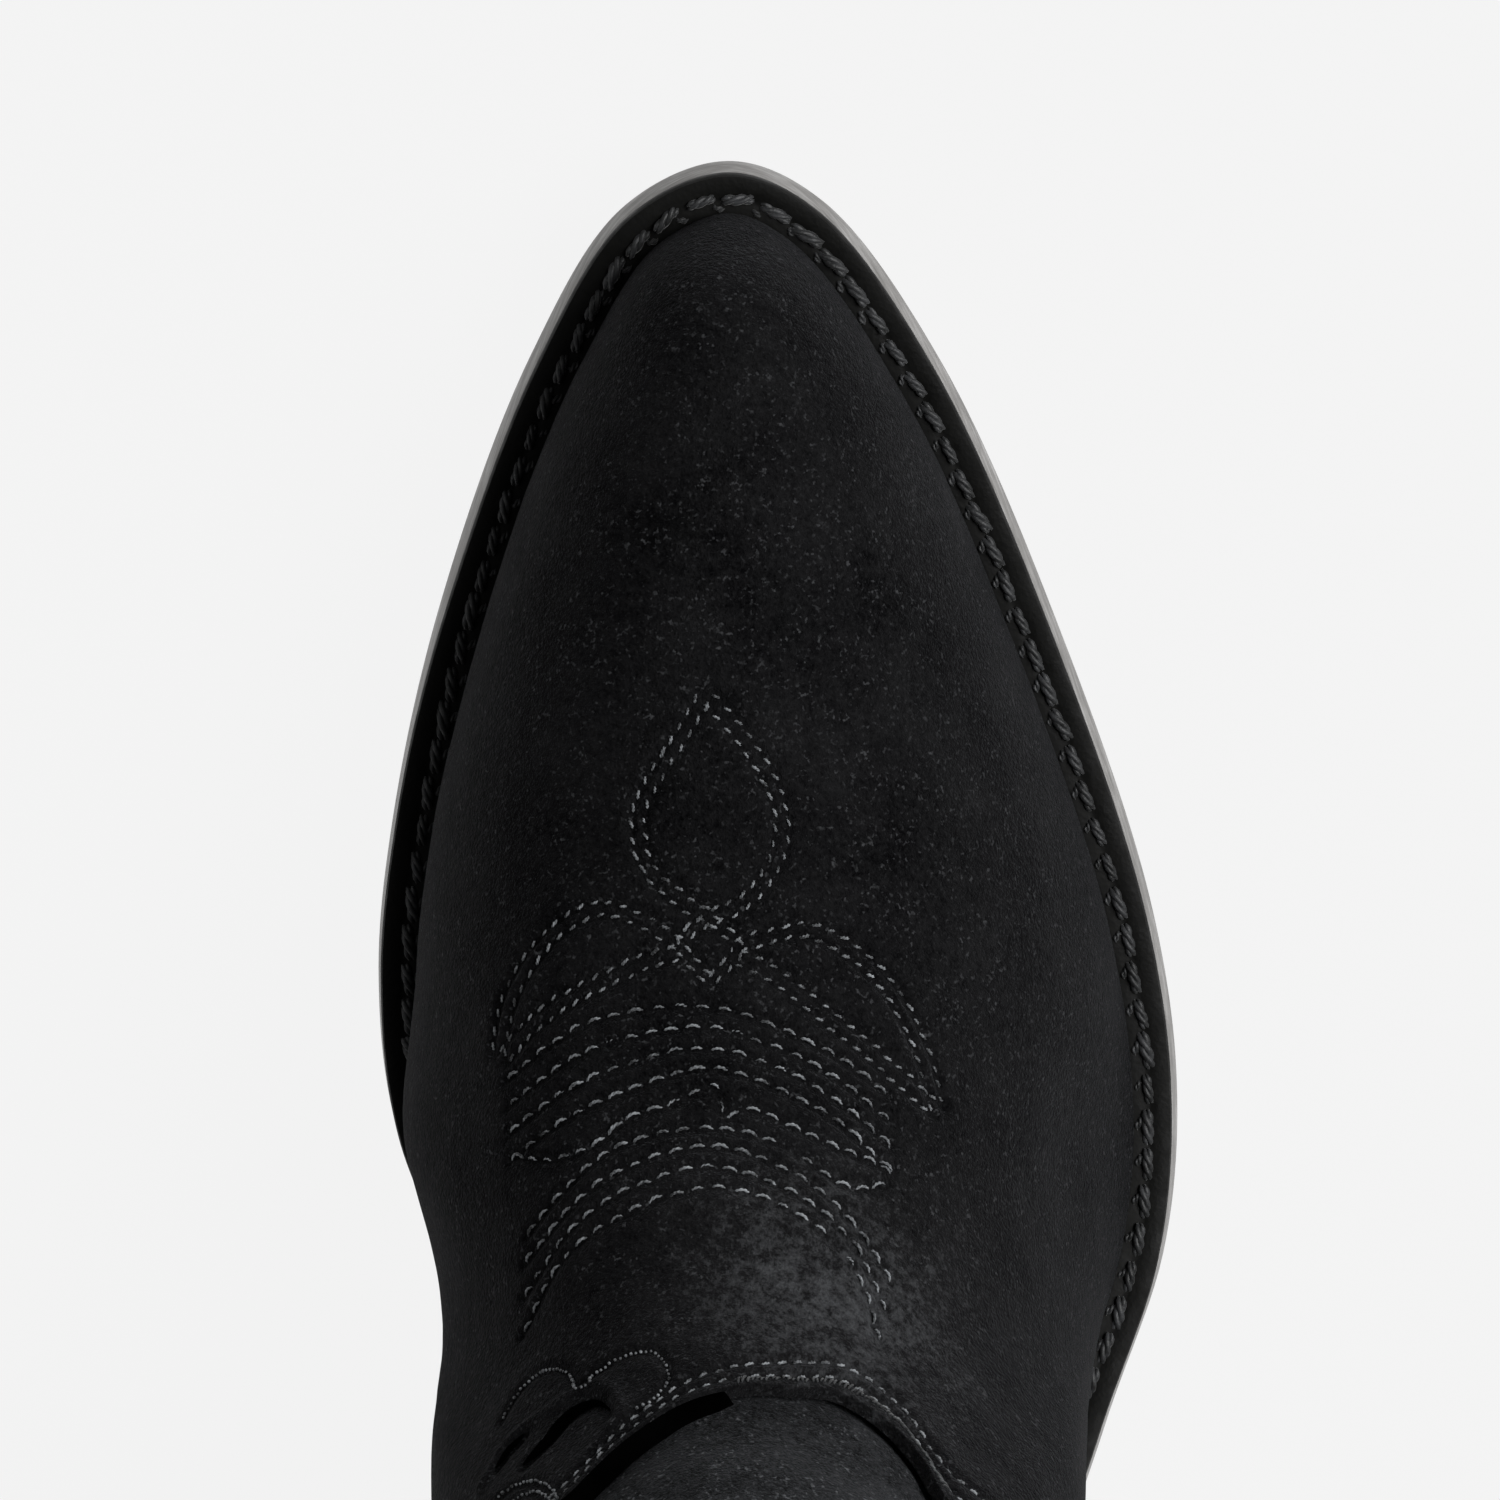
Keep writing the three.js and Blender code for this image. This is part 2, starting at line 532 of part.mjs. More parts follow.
for (let i = 0; i < LIFT_COUNT; i++) {
  const bottom = CAP_THICK + GAP + i * (LIFT_THICK + GAP);
  const isTop = i === LIFT_COUNT - 1;
  const top = (t) => (isTop ? underside(t) - GAP : bottom + LIFT_THICK);
  const lift = heelPiece(() => bottom, top);
  add(`heel_lift_${i + 1}`, i === 0 ? drilled(lift, nailHoles) : lift, STACKED_LEATHER);
}
nailPlaces.forEach(([x, t], i) => {
  add(`heel_nail_${i + 1}`, pin(NAIL_RADIUS, x, t, GAP, CAP_THICK + LIFT_THICK), BRASS);
});

// ---------- Upper ----------
const aside = (u) => Math.abs(lerp(-1, 1, u));
const VAMP_SIDE_LEVEL = 5.5;
const vampTop = (u) => lerp(THROAT_LEVEL, VAMP_SIDE_LEVEL, aside(u) ** 3.5);
const counterTop = (u) => lerp(THROAT_LEVEL + 0.35, VAMP_SIDE_LEVEL, aside(u) ** 1.6);
const LINING_JOIN_LEVEL = 6.5;
const start = () => 0;

// Layers share their columns as well as their levels. A stiffener takes the middle ones.
const FRONT_COLUMNS = 26;
const BACK_COLUMNS = 18;
const PUFF_COLUMNS = 18;
const STIFFENER_COLUMNS = 10;
const middleShare = (u, share) => 0.5 + (u - 0.5) * share;

add("vamp", panel({
  angle: frontAngle, bottom: start, top: vampTop, depth: 0, thick: LEATHER, columns: FRONT_COLUMNS,
}), SUEDE);
add("counter", panel({
  angle: backAngle, bottom: start, top: counterTop, depth: 0, thick: LEATHER, columns: BACK_COLUMNS,
}), SUEDE);
add("shaft_front", panel({
  angle: frontAngle, bottom: (u) => vampTop(u) - LAP_LEVELS, top: () => TOP_LEVEL, depth: SECOND_LAYER,
  thick: LEATHER, columns: FRONT_COLUMNS, skive: SKIVE,
}), SHAFT_SUEDE);
add("shaft_back", panel({
  angle: backAngle, bottom: (u) => counterTop(u) - LAP_LEVELS, top: () => TOP_LEVEL, depth: SECOND_LAYER,
  thick: LEATHER, columns: BACK_COLUMNS, skive: SKIVE,
}), SHAFT_SUEDE);

const PUFF_LEVEL = 3.2;
const STIFFENER_LEVEL = 4.2;
add("toe_puff", panel({
  angle: (u, s) => frontAngle(middleShare(u, PUFF_COLUMNS / FRONT_COLUMNS), s), bottom: start,
  top: (u) => lerp(PUFF_LEVEL, 2, aside(u) ** 2), depth: SECOND_LAYER, thick: STIFFENER, columns: PUFF_COLUMNS,
}), BOARD);
add("heel_stiffener", panel({
  angle: (u, s) => backAngle(middleShare(u, STIFFENER_COLUMNS / BACK_COLUMNS), s), bottom: start,
  top: (u) => lerp(STIFFENER_LEVEL, 2.6, aside(u) ** 2), depth: SECOND_LAYER, thick: STIFFENER,
  columns: STIFFENER_COLUMNS,
}), BOARD);
const LINING_GAP = 0.03; // levels left open between the foot and shaft linings
add("vamp_lining", panel({
  angle: frontAngle, bottom: start, top: () => LINING_JOIN_LEVEL - LINING_GAP, depth: LINING_LAYER,
  thick: LINING, columns: FRONT_COLUMNS,
}), LINING_LEATHER);
add("heel_lining", panel({
  angle: backAngle, bottom: start, top: () => LINING_JOIN_LEVEL - LINING_GAP, depth: LINING_LAYER,
  thick: LINING, columns: BACK_COLUMNS,
}), LINING_LEATHER);
add("shaft_lining_front", panel({
  angle: frontAngle, bottom: () => LINING_JOIN_LEVEL, top: () => TOP_LEVEL, depth: LINING_LAYER,
  thick: LINING, columns: FRONT_COLUMNS,
}), LINING_LEATHER);
add("shaft_lining_back", panel({
  angle: backAngle, bottom: () => LINING_JOIN_LEVEL, top: () => TOP_LEVEL, depth: LINING_LAYER,
  thick: LINING, columns: BACK_COLUMNS,
}), LINING_LEATHER);

// The binding sits on the top edge of the shaft and its lining.
const bindingPoint = (lift) => (u, v) => {
  const a = Math.PI * (2 * u - 1);
  const p = under(a, TOP_LEVEL, lerp(SECOND_LAYER - BINDING_OVERHANG, UPPER_DEPTH + BINDING_OVERHANG, v));
  p.z += lift;
  return p;
};
add("top_binding", solidBetween(bindingPoint(GAP + BINDING_THICK), bindingPoint(GAP), 56, 1, true), SUEDE);

// ---------- Side seams and pull straps ----------
const PIPING_FOOT = VAMP_SIDE_LEVEL + 0.25;
const PIPING_HEAD = TOP_LEVEL - 1.45;
function piping(side) {
  const path = new THREE.CatmullRomCurve3(Array.from({ length: 13 }, (_, i) => {
    const s = lerp(PIPING_FOOT, PIPING_HEAD, i / 12);
    return toWorld(under(side * seamAngle(s), s, SECOND_LAYER - GAP - PIPING_RADIUS));
  }));
  return rod(PIPING_RADIUS, path, 26);
}

// A strap folded over the top edge, with a tail down the outside and one down the lining.
const TAIL_LEVELS = 1.2; // levels of the shaft that a tail reaches down
function pullStrap(side) {
  const seam = (s) => surface(side * seamAngle(s), s);
  const top = seam(TOP_LEVEL);
  const lean = seam(TOP_LEVEL - TAIL_LEVELS);
  const slope = (Math.abs(top.x) - Math.abs(lean.x)) / (top.z - lean.z);
  const depth = (frontT(TOP_LEVEL) - backT(TOP_LEVEL)) / 2;
  const sag = Math.abs(top.x) * (1 - Math.sqrt(1 - (STRAP_WIDTH / 2 / depth) ** 2));
  const outside = Math.abs(top.x) - SECOND_LAYER + BINDING_OVERHANG + GAP;
  const inside = Math.abs(top.x) - UPPER_DEPTH - GAP - 2 * sag;
  const crown = top.z + STRAP_RISE;
  const edge = (offset, z) => [offset + slope * (Math.min(z, top.z) - top.z), z];
  const radius = (outside - inside) / 2;
  const middle = (outside + inside) / 2;
  const arc = (r, from, to) => Array.from({ length: 9 }, (_, i) => {
    const angle = lerp(from, to, i / 8);
    return [middle + r * Math.cos(angle), crown - radius - STRAP_THICK + r * Math.sin(angle)];
  });
  const outer = radius + STRAP_THICK;
  const points = [
    edge(outside, top.z - STRAP_TAIL), edge(outside + STRAP_THICK, top.z - STRAP_TAIL),
    edge(outside + STRAP_THICK, top.z), ...arc(outer, 0, Math.PI), edge(inside - STRAP_THICK, top.z),
    edge(inside - STRAP_THICK, top.z - STRAP_TAIL), edge(inside, top.z - STRAP_TAIL), edge(inside, top.z),
    ...arc(radius, Math.PI, 0), edge(outside, top.z),
  ];
  const shape = new THREE.Shape(points.map(([x, z]) => new THREE.Vector2(x, z)));
  const ribbon = new THREE.ExtrudeGeometry(shape, { depth: STRAP_WIDTH, steps: 1, bevelEnabled: false });
  ribbon.rotateX(Math.PI / 2);
  ribbon.translate(0, STRAP_WIDTH / 2, 0);
  if (side < 0) ribbon.rotateZ(Math.PI);
  ribbon.translate(0, -top.y, 0);
  return bare(ribbon);
}
for (const [name, side] of [["medial", 1], ["lateral", -1]]) {
  add(`piping_${name}`, piping(side), SUEDE);
  add(`pull_strap_${name}`, pullStrap(side), SUEDE);
}

// ---------- Origin ----------
const bounds = new THREE.Box3().setFromObject(boot);
const middle = bounds.getCenter(new THREE.Vector3());
boot.position.set(-middle.x, -middle.y, -bounds.min.z);

export default boot;
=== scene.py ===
"""A black suede western boot, dressed in fine meshes, stitches and materials around its CAD frame.

Lengths in the formulas are millimetres. A point is (x, t, z): x to the inner side, t forward from the back of
the sole, z up. row() turns such points into the frame's metres.
"""
import itertools
import math

import bmesh
import bpy
import numpy as np
from mathutils import Matrix, Vector
from mathutils.bvhtree import BVHTree
from mathutils.kdtree import KDTree


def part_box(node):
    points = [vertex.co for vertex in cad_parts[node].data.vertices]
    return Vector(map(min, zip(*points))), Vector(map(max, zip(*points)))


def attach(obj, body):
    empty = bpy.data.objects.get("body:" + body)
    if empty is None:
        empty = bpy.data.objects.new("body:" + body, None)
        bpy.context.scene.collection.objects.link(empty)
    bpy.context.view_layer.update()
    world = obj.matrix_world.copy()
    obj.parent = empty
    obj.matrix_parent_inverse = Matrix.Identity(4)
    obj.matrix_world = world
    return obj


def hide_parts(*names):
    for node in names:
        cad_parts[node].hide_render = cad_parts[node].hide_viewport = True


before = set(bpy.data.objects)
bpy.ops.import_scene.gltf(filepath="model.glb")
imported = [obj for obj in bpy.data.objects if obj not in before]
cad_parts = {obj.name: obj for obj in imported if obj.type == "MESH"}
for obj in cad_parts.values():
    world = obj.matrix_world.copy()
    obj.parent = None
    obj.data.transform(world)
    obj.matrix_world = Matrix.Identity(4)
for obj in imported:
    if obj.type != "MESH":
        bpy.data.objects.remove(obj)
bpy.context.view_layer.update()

MM = 0.001
RANDOM = np.random.default_rng(7)

# ---------- Sizes shared with the CAD model ----------
SOLE_LENGTH = 305
SHAFT_TOP = 328
HEEL_SEAT = 38.5
TOE_SPRING = 13
OUTSOLE_THICK = 4.8
EDGE_FLARE = 1
WELT_TOP = 8.1
WELT_SHOWS = 5
UPPER_FOOT = 8.9
LEATHER = 1.5
SECOND_LAYER = 2.45
LINING_LAYER = 4.75
UPPER_DEPTH = 5.75
HEEL_LENGTH = 68
HEEL_TAPER = 0.86
ANKLE_HALF_WIDTH = 38
TOP_HALF_WIDTH = 50
SCALLOP = 30


# ---------- Curves ----------
def through(points):
    """A smooth curve y(x) through a few points, for numbers and arrays alike."""
    xs, ys = np.array(points, float).T
    steps = np.diff(xs)
    chords = np.diff(ys) / steps
    slopes = np.empty_like(ys)
    slopes[0], slopes[-1] = chords[0], chords[-1]
    slopes[1:-1] = (chords[:-1] * steps[1:] + chords[1:] * steps[:-1]) / (steps[1:] + steps[:-1])

    def curve(x):
        x = np.clip(x, xs[0], xs[-1])
        i = np.clip(np.searchsorted(xs, x, side="right") - 1, 0, len(xs) - 2)
        h = steps[i]
        u = (x - xs[i]) / h
        v = 1 - u
        start = (1 + 2 * u) * v * v * ys[i] + u * v * v * h * slopes[i]
        end = u * u * (3 - 2 * u) * ys[i + 1] - u * u * v * h * slopes[i + 1]
        return start + end

    return curve


def smooth(x, low, high):
    share = np.clip((np.asarray(x, float) - low) / (high - low), 0, 1)
    return share * share * (3 - 2 * share)


def mix(a, b, share):
    return a + (b - a) * share


def lengths(points):
    """The distance along a line to each of its points."""
    return np.concatenate([[0], np.cumsum(np.linalg.norm(np.diff(points, axis=0), axis=1))])


def at_lengths(values, length, at):
    return np.stack([np.interp(at, length, column) for column in values.T], axis=1)


def evenly(points, count):
    length = lengths(points)
    return at_lengths(points, length, np.linspace(0, length[-1], count))


def spline(points, count=None, closed=False):
    """A centripetal Catmull-Rom curve through a few points, evenly spaced where a count is given."""
    p = np.array(points, float)
    n = len(p)
    dense = []
    for i in range(n if closed else n - 1):
        p1, p2 = p[i], p[(i + 1) % n]
        p0 = p[i - 1] if closed or i > 0 else 2 * p1 - p2
        p3 = p[(i + 2) % n] if closed or i + 2 < n else 2 * p2 - p1
        d0, d1, d2 = (max(np.linalg.norm(b - a), 1e-6) ** 0.5 for a, b in ((p0, p1), (p1, p2), (p2, p3)))
        m1 = ((p1 - p0) / d0 - (p2 - p0) / (d0 + d1) + (p2 - p1) / d1) * d1
        m2 = ((p2 - p1) / d1 - (p3 - p1) / (d1 + d2) + (p3 - p2) / d2) * d1
        u = np.linspace(0, 1, 20, endpoint=False)[:, None]
        dense.append((2 * u**3 - 3 * u**2 + 1) * p1 + (u**3 - 2 * u**2 + u) * m1
                     + (3 * u**2 - 2 * u**3) * p2 + (u**3 - u**2) * m2)
    dense = np.vstack(dense + [p[:1] if closed else p[-1:]])
    return dense if count is None else evenly(dense, count)


# ---------- The sole's line ----------
WAIST_FRONT = 195
SPRING_START = 215
waist = through([(0, HEEL_SEAT), (35, 36.65), (70, 34.03), (95, 27.72), (125, 15.4), (155, 5.2), (180, 0.77),
                 (WAIST_FRONT, 0)])


def underside(t):
    """The height of the sole's underside."""
    t = np.asarray(t, float)
    rise = TOE_SPRING * (np.clip(t - SPRING_START, 0, None) / (SOLE_LENGTH - SPRING_START)) ** 2
    return np.where(t < WAIST_FRONT, np.maximum(0, waist(t)), rise)


OUTLINE = spline([
    (0, 0), (3.5, 14), (14, 26.5), (40, 33.5), (75, 32.5), (115, 31), (150, 37.5), (176, 48), (196, 50.2),
    (217, 48.2), (245, 42), (279, 29.8), (299, 17.6), (305, 4.3), (300, -7.5), (279, -22.8), (240, -39.8),
    (205, -51.3), (181, -54.7), (160, -53), (138, -45.2), (115, -37.8), (75, -34.5), (40, -34), (14, -26.5),
    (3.5, -14),
], closed=True)[:-1]


def inset_loop(distance):
    """The sole's outline moved in by a distance, as a closed loop of (t, x)."""
    along = np.roll(OUTLINE, -1, axis=0) - np.roll(OUTLINE, 1, axis=0)
    along /= np.linalg.norm(along, axis=1)[:, None]
    return OUTLINE + distance * np.stack([along[:, 1], -along[:, 0]], axis=1)


class Sides:
    """The inner and outer side of an inset outline as x(t)."""

    def __init__(self, distance):
        loop = inset_loop(distance)
        loop = np.roll(loop, -int(np.argmin(loop[:, 0])), axis=0)
        front = int(np.argmax(loop[:, 0]))
        self.back, self.front = loop[0, 0], loop[front, 0]
        self.inner_line = loop[: front + 1]
        self.outer_line = np.vstack([loop[front:], loop[:1]])[::-1]

    def inner(self, t):
        return self.across(self.inner_line, t)

    def outer(self, t):
        return self.across(self.outer_line, t)

    @staticmethod
    def across(line, t):
        return np.interp(t, np.maximum.accumulate(line[:, 0]), line[:, 1])


# ---------- Outer surface of the upper ----------
feather = Sides(EDGE_FLARE + WELT_SHOWS)
DRAWN_FOOT = 8.4  # the foot height that the outlines below are drawn for
FOOT_LIFT = UPPER_FOOT - DRAWN_FOOT
TURN = [0, 0, 0, 0, 0.02, 0.1, 0.28, 0.52, 0.8, 0.96, 1]
FOOT_FRONT = [(297, 30), (291, 40.5), (276, 48.5), (250, 56), (220, 66), (195, 79), (177, 95), (166, 112),
              (160, 135), (156, 165), (152, 205)]
FOOT_BACK = [(4.6, 50.5), (3.6, 56), (3, 62), (3, 70), (4, 79), (6.5, 89), (10.5, 100), (15.5, 112),
             (22, 130), (28.5, 155), (31, 195)]
LEVELS = [(feather.front, underside(feather.front) + UPPER_FOOT, feather.back,
           underside(feather.back) + UPPER_FOOT, 0)]
for (tf, zf), (tb, zb), turn in zip(FOOT_FRONT, FOOT_BACK, TURN):
    LEVELS.append((tf, zf + FOOT_LIFT * (1 - turn), tb, zb + FOOT_LIFT * (1 - turn), turn))
for tf, tb, z in ((150.5, 29, 240), (151, 23, 270), (152, 16, SHAFT_TOP - SCALLOP)):
    LEVELS.append((tf, z, tb, z, 1))
TOP_LEVEL = len(LEVELS) - 1
ANKLE_LEVEL = 9
THROAT_LEVEL = 8
front_t, front_z, back_t, back_z, turned = (
    through([(i, level[column]) for i, level in enumerate(LEVELS)]) for column in range(5)
)
SHAFT_FRONT = LEVELS[ANKLE_LEVEL + 1][0]
ridge = through([(SHAFT_FRONT - 45, 2200), (SHAFT_FRONT - 22, 900), (SHAFT_FRONT - 8, 360)]
                + [(float(front_t(s)), float(front_z(s))) for s in np.linspace(ANKLE_LEVEL + 1, 0, 201)])
ridge_x = through([(130, 0.3), (166, 2.3), (190, 6.5), (220, 7), (250, 6), (280, 5), (300, 4.8)])
bulge = through([(0, 1.5), (20, 3), (50, 5), (80, 7.5), (115, 9.8), (140, 8), (160, 3.4), (180, 0.8),
                 (205, 0.6), (SOLE_LENGTH, 0.6)])
SHAFT_MIDDLE = mix(ANKLE_HALF_WIDTH, TOP_HALF_WIDTH, 0.6)
shaft_half = through([(0, ANKLE_HALF_WIDTH), (ANKLE_LEVEL, ANKLE_HALF_WIDTH), (TOP_LEVEL - 2, SHAFT_MIDDLE),
                      (TOP_LEVEL, TOP_HALF_WIDTH)])
dome = through([(140, 1.3), (165, 1.4), (190, 1.75), (225, 2.1)])
CENTRE_RISE = 18
BULGE_RISE = 14
LEAN_ZONE = (176, 202)  # where the ridge's sideways lean turns from quick to even


def surface(a, s):
    """The upper's outer surface at an angle a, 0 in front and positive inside, and a level s."""
    a, s = np.broadcast_arrays(np.asarray(a, float), np.asarray(s, float))
    tau = (1 + np.cos(a)) / 2
    k = np.clip(turned(s), 0, 1)
    tf, tb = front_t(s), back_t(s)
    t = mix(tb, tf, tau)

    def base(at):
        return (underside(at) + UPPER_FOOT) * (1 - k)

    rise = mix(back_z(s) - base(tb), front_z(s) - base(tf), tau)
    scallop = SCALLOP * smooth(s, TOP_LEVEL - 2, TOP_LEVEL) * np.abs(np.sin(a)) ** 1.25
    z = base(t) + rise + scallop
    plan = t - (tb - feather.back) * (1 - tau) ** 2
    height = np.maximum(0, z - underside(t) - UPPER_FOOT)
    crest = np.maximum(ridge(t) - underside(t) - UPPER_FOOT, 0.5)
    share = np.where(s <= 0, 0, np.clip(height / crest, 0, 1))
    inner, outer = feather.inner(plan), feather.outer(plan)
    ends = np.minimum(1, 2 * np.abs(np.sin(a)))
    swell = bulge(plan) * (1 - np.exp(-height / BULGE_RISE)) * ends
    foot = ((inner - outer) / 2 + swell) * np.sqrt(1 - share ** dome(t))
    lean = mix(1 - np.exp(-height / CENTRE_RISE), share ** 1.2, smooth(t, *LEAN_ZONE))
    centre = mix((inner + outer) / 2, ridge_x(t), lean)
    shaft = shaft_half(s) * np.abs(np.sin(a))
    middle = mix(centre, 0, k * smooth(s, THROAT_LEVEL, ANKLE_LEVEL + 1))
    return np.stack([middle + np.sign(np.sin(a)) * mix(foot, shaft, k), t, z], axis=-1)


def unit(v):
    return v / np.maximum(np.linalg.norm(v, axis=-1, keepdims=True), 1e-9)


ANGLE_STEP = 0.004
LEVEL_STEP = 0.04
LEVEL_ENDS = 0.8


def outward(a, s):
    """The surface's normal, level at the sole and at the top edge."""
    round_ = surface(a + ANGLE_STEP, s) - surface(a - ANGLE_STEP, s)
    up = surface(a, np.minimum(TOP_LEVEL, s + LEVEL_STEP)) - surface(a, np.maximum(0, s - LEVEL_STEP))
    normal = unit(np.cross(up, round_))
    level = unit(np.stack([-round_[..., 1], round_[..., 0], 0 * round_[..., 0]], axis=-1))
    ends = np.minimum(smooth(s, 0, LEVEL_ENDS), 1 - smooth(s, TOP_LEVEL - LEVEL_ENDS, TOP_LEVEL))
    return unit(mix(level, normal, ends[..., None]))


def under(a, s, depth):
    """Points at a depth below the outer surface."""
    a, s = np.broadcast_arrays(np.asarray(a, float), np.asarray(s, float))
    return surface(a, s) - outward(a, s) * np.asarray(depth)[..., None]


SEAM_FOOT = 118
SEAM_ANKLE = 94


def seam_angle(s):
    """The side seams: up the waist, then up the middle of the shaft."""
    foot = mix(SEAM_FOOT, SEAM_ANKLE, np.clip(s / ANKLE_LEVEL, 0, 1))
    tf, tb = front_t(s), back_t(s)
    t = mix(foot, (tf + tb) / 2, smooth(s, THROAT_LEVEL, ANKLE_LEVEL + 1))
    return np.arccos(np.clip(2 * (t - tb) / (tf - tb) - 1, -1, 1))


# ---------- Into the frame ----------
outsole_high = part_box("outsole")[1]
SHIFT_X = outsole_high.x / MM - float(OUTLINE[:, 1].max())
SHIFT_Y = outsole_high.y / MM + float(OUTLINE[:, 0].min())


def row(points):
    """Formula millimetres to the frame's metres."""
    p = np.asarray(points, float)
    return np.stack([p[..., 0] + SHIFT_X, SHIFT_Y - p[..., 1], p[..., 2]], axis=-1) * MM


# ---------- Meshes ----------
WELD = 2e-6  # metres
COLLAPSED = 1e-7  # metres


def new_object(name, vertices, faces, material):
    mesh = bpy.data.meshes.new(name)
    mesh.from_pydata(np.asarray(vertices).reshape(-1, 3).tolist(), [], [tuple(f) for f in faces])
    made = bpy.data.objects.new(name, mesh)
    bpy.context.scene.collection.objects.link(made)
    mesh.materials.append(material)
    return made


def tidy(made, sharp=40):
    """Welds equal points, drops collapsed faces and turns the solid outside out."""
    bm = bmesh.new()
    bm.from_mesh(made.data)
    bmesh.ops.remove_doubles(bm, verts=bm.verts, dist=WELD)
    bmesh.ops.dissolve_degenerate(bm, edges=bm.edges, dist=COLLAPSED)
    bmesh.ops.recalc_face_normals(bm, faces=bm.faces)
    bm.to_mesh(made.data)
    bm.free()
    made.data.shade_smooth()
    made.data.set_sharp_from_angle(angle=math.radians(sharp))
    return made


def rounded(made, width, segments=3):
    """Bevels the sharp edges of a solid."""
    edge = made.modifiers.new("edge", "BEVEL")
    edge.width = width * MM
    edge.segments = segments
    edge.limit_method = "ANGLE"
    edge.angle_limit = math.radians(50)
    return made


def quads(height, width, wrap=False):
    """Quads of a grid with that many points each way, as an array of corner numbers."""
    index = np.arange(height * width).reshape(height, width)
    if wrap:
        index = np.hstack([index, index[:, :1]])
    return np.stack([index[:-1, :-1], index[:-1, 1:], index[1:, 1:], index[1:, :-1]], axis=-1).reshape(-1, 4)


def shell(name, outer, inner, material, wrap=False, bevel=0.35):
    """A closed solid between two grids of formula points that face each other."""
    height, width = outer.shape[:2]
    count = height * width
    faces = [quads(height, width, wrap), quads(height, width, wrap)[:, ::-1] + count]
    index = np.arange(count).reshape(height, width)
    rims = [index[0], index[-1]]
    if wrap:
        rims = [np.append(rim, rim[0]) for rim in rims]
    else:
        rims += [index[:, 0], index[:, -1]]
    for rim in rims:
        faces.append(np.stack([rim[:-1], rim[1:], rim[1:] + count, rim[:-1] + count], axis=-1))
    points = np.concatenate([outer.reshape(-1, 3), inner.reshape(-1, 3)])
    made = tidy(new_object(name, row(points), np.vstack(faces), material))
    return rounded(made, bevel) if bevel else made


def loft(name, sections, material, sharp=40, closed=False):
    """A closed solid through rings of formula points, with flat ends where the rings don't meet or close."""
    count, width = sections.shape[:2]
    faces = quads(count, width, wrap=True).tolist()
    last = (count - 1) * width
    if closed:
        faces += [[last + j, last + (j + 1) % width, (j + 1) % width, j] for j in range(width)]
    else:
        faces += [list(range(width)), list(range(last, last + width))[::-1]]
    return tidy(new_object(name, row(sections), faces, material), sharp)


def tube(name, path, radius, material, sides=12):
    """A round cord along formula points."""
    path = np.asarray(path, float)
    along = unit(np.gradient(path, axis=0))
    side = unit(np.cross(along, [0.0, 1.0, 0.02]))
    up = np.cross(side, along)
    turn = np.linspace(0, 2 * math.pi, sides, endpoint=False)
    ring = np.cos(turn)[None, :, None] * side[:, None] + np.sin(turn)[None, :, None] * up[:, None]
    return loft(name, path[:, None] + ring * radius, material, 60)


def finished(piece, slot, *nodes):
    """Rides a piece on the boot's one body, and has it stand for the CAD nodes that it covers."""
    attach(piece, "root")
    if nodes:
        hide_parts(*nodes)
    return piece


LATTICE_SIZE = 32
LATTICE = RANDOM.uniform(-1, 1, (LATTICE_SIZE,) * 3)


def noise(points, size):
    """Smooth random values from -1 to 1 with features about that many millimetres across."""
    p = np.asarray(points, float) / size
    low = np.floor(p).astype(int)
    f = p - low
    f = f * f * (3 - 2 * f)
    total = 0
    for corner in itertools.product((0, 1), repeat=3):
        weight = np.prod(np.where(corner, f, 1 - f), axis=-1)
        cell = np.moveaxis((low + corner) % LATTICE_SIZE, -1, 0)
        total = total + weight * LATTICE[tuple(cell)]
    return total


# ---------- Materials ----------
def tone(red, green, blue):
    """A display colour, 0 to 255, as linear light."""
    def linear(c):
        c /= 255
        return c / 12.92 if c <= 0.04045 else ((c + 0.055) / 1.055) ** 2.4
    return (linear(red), linear(green), linear(blue), 1)


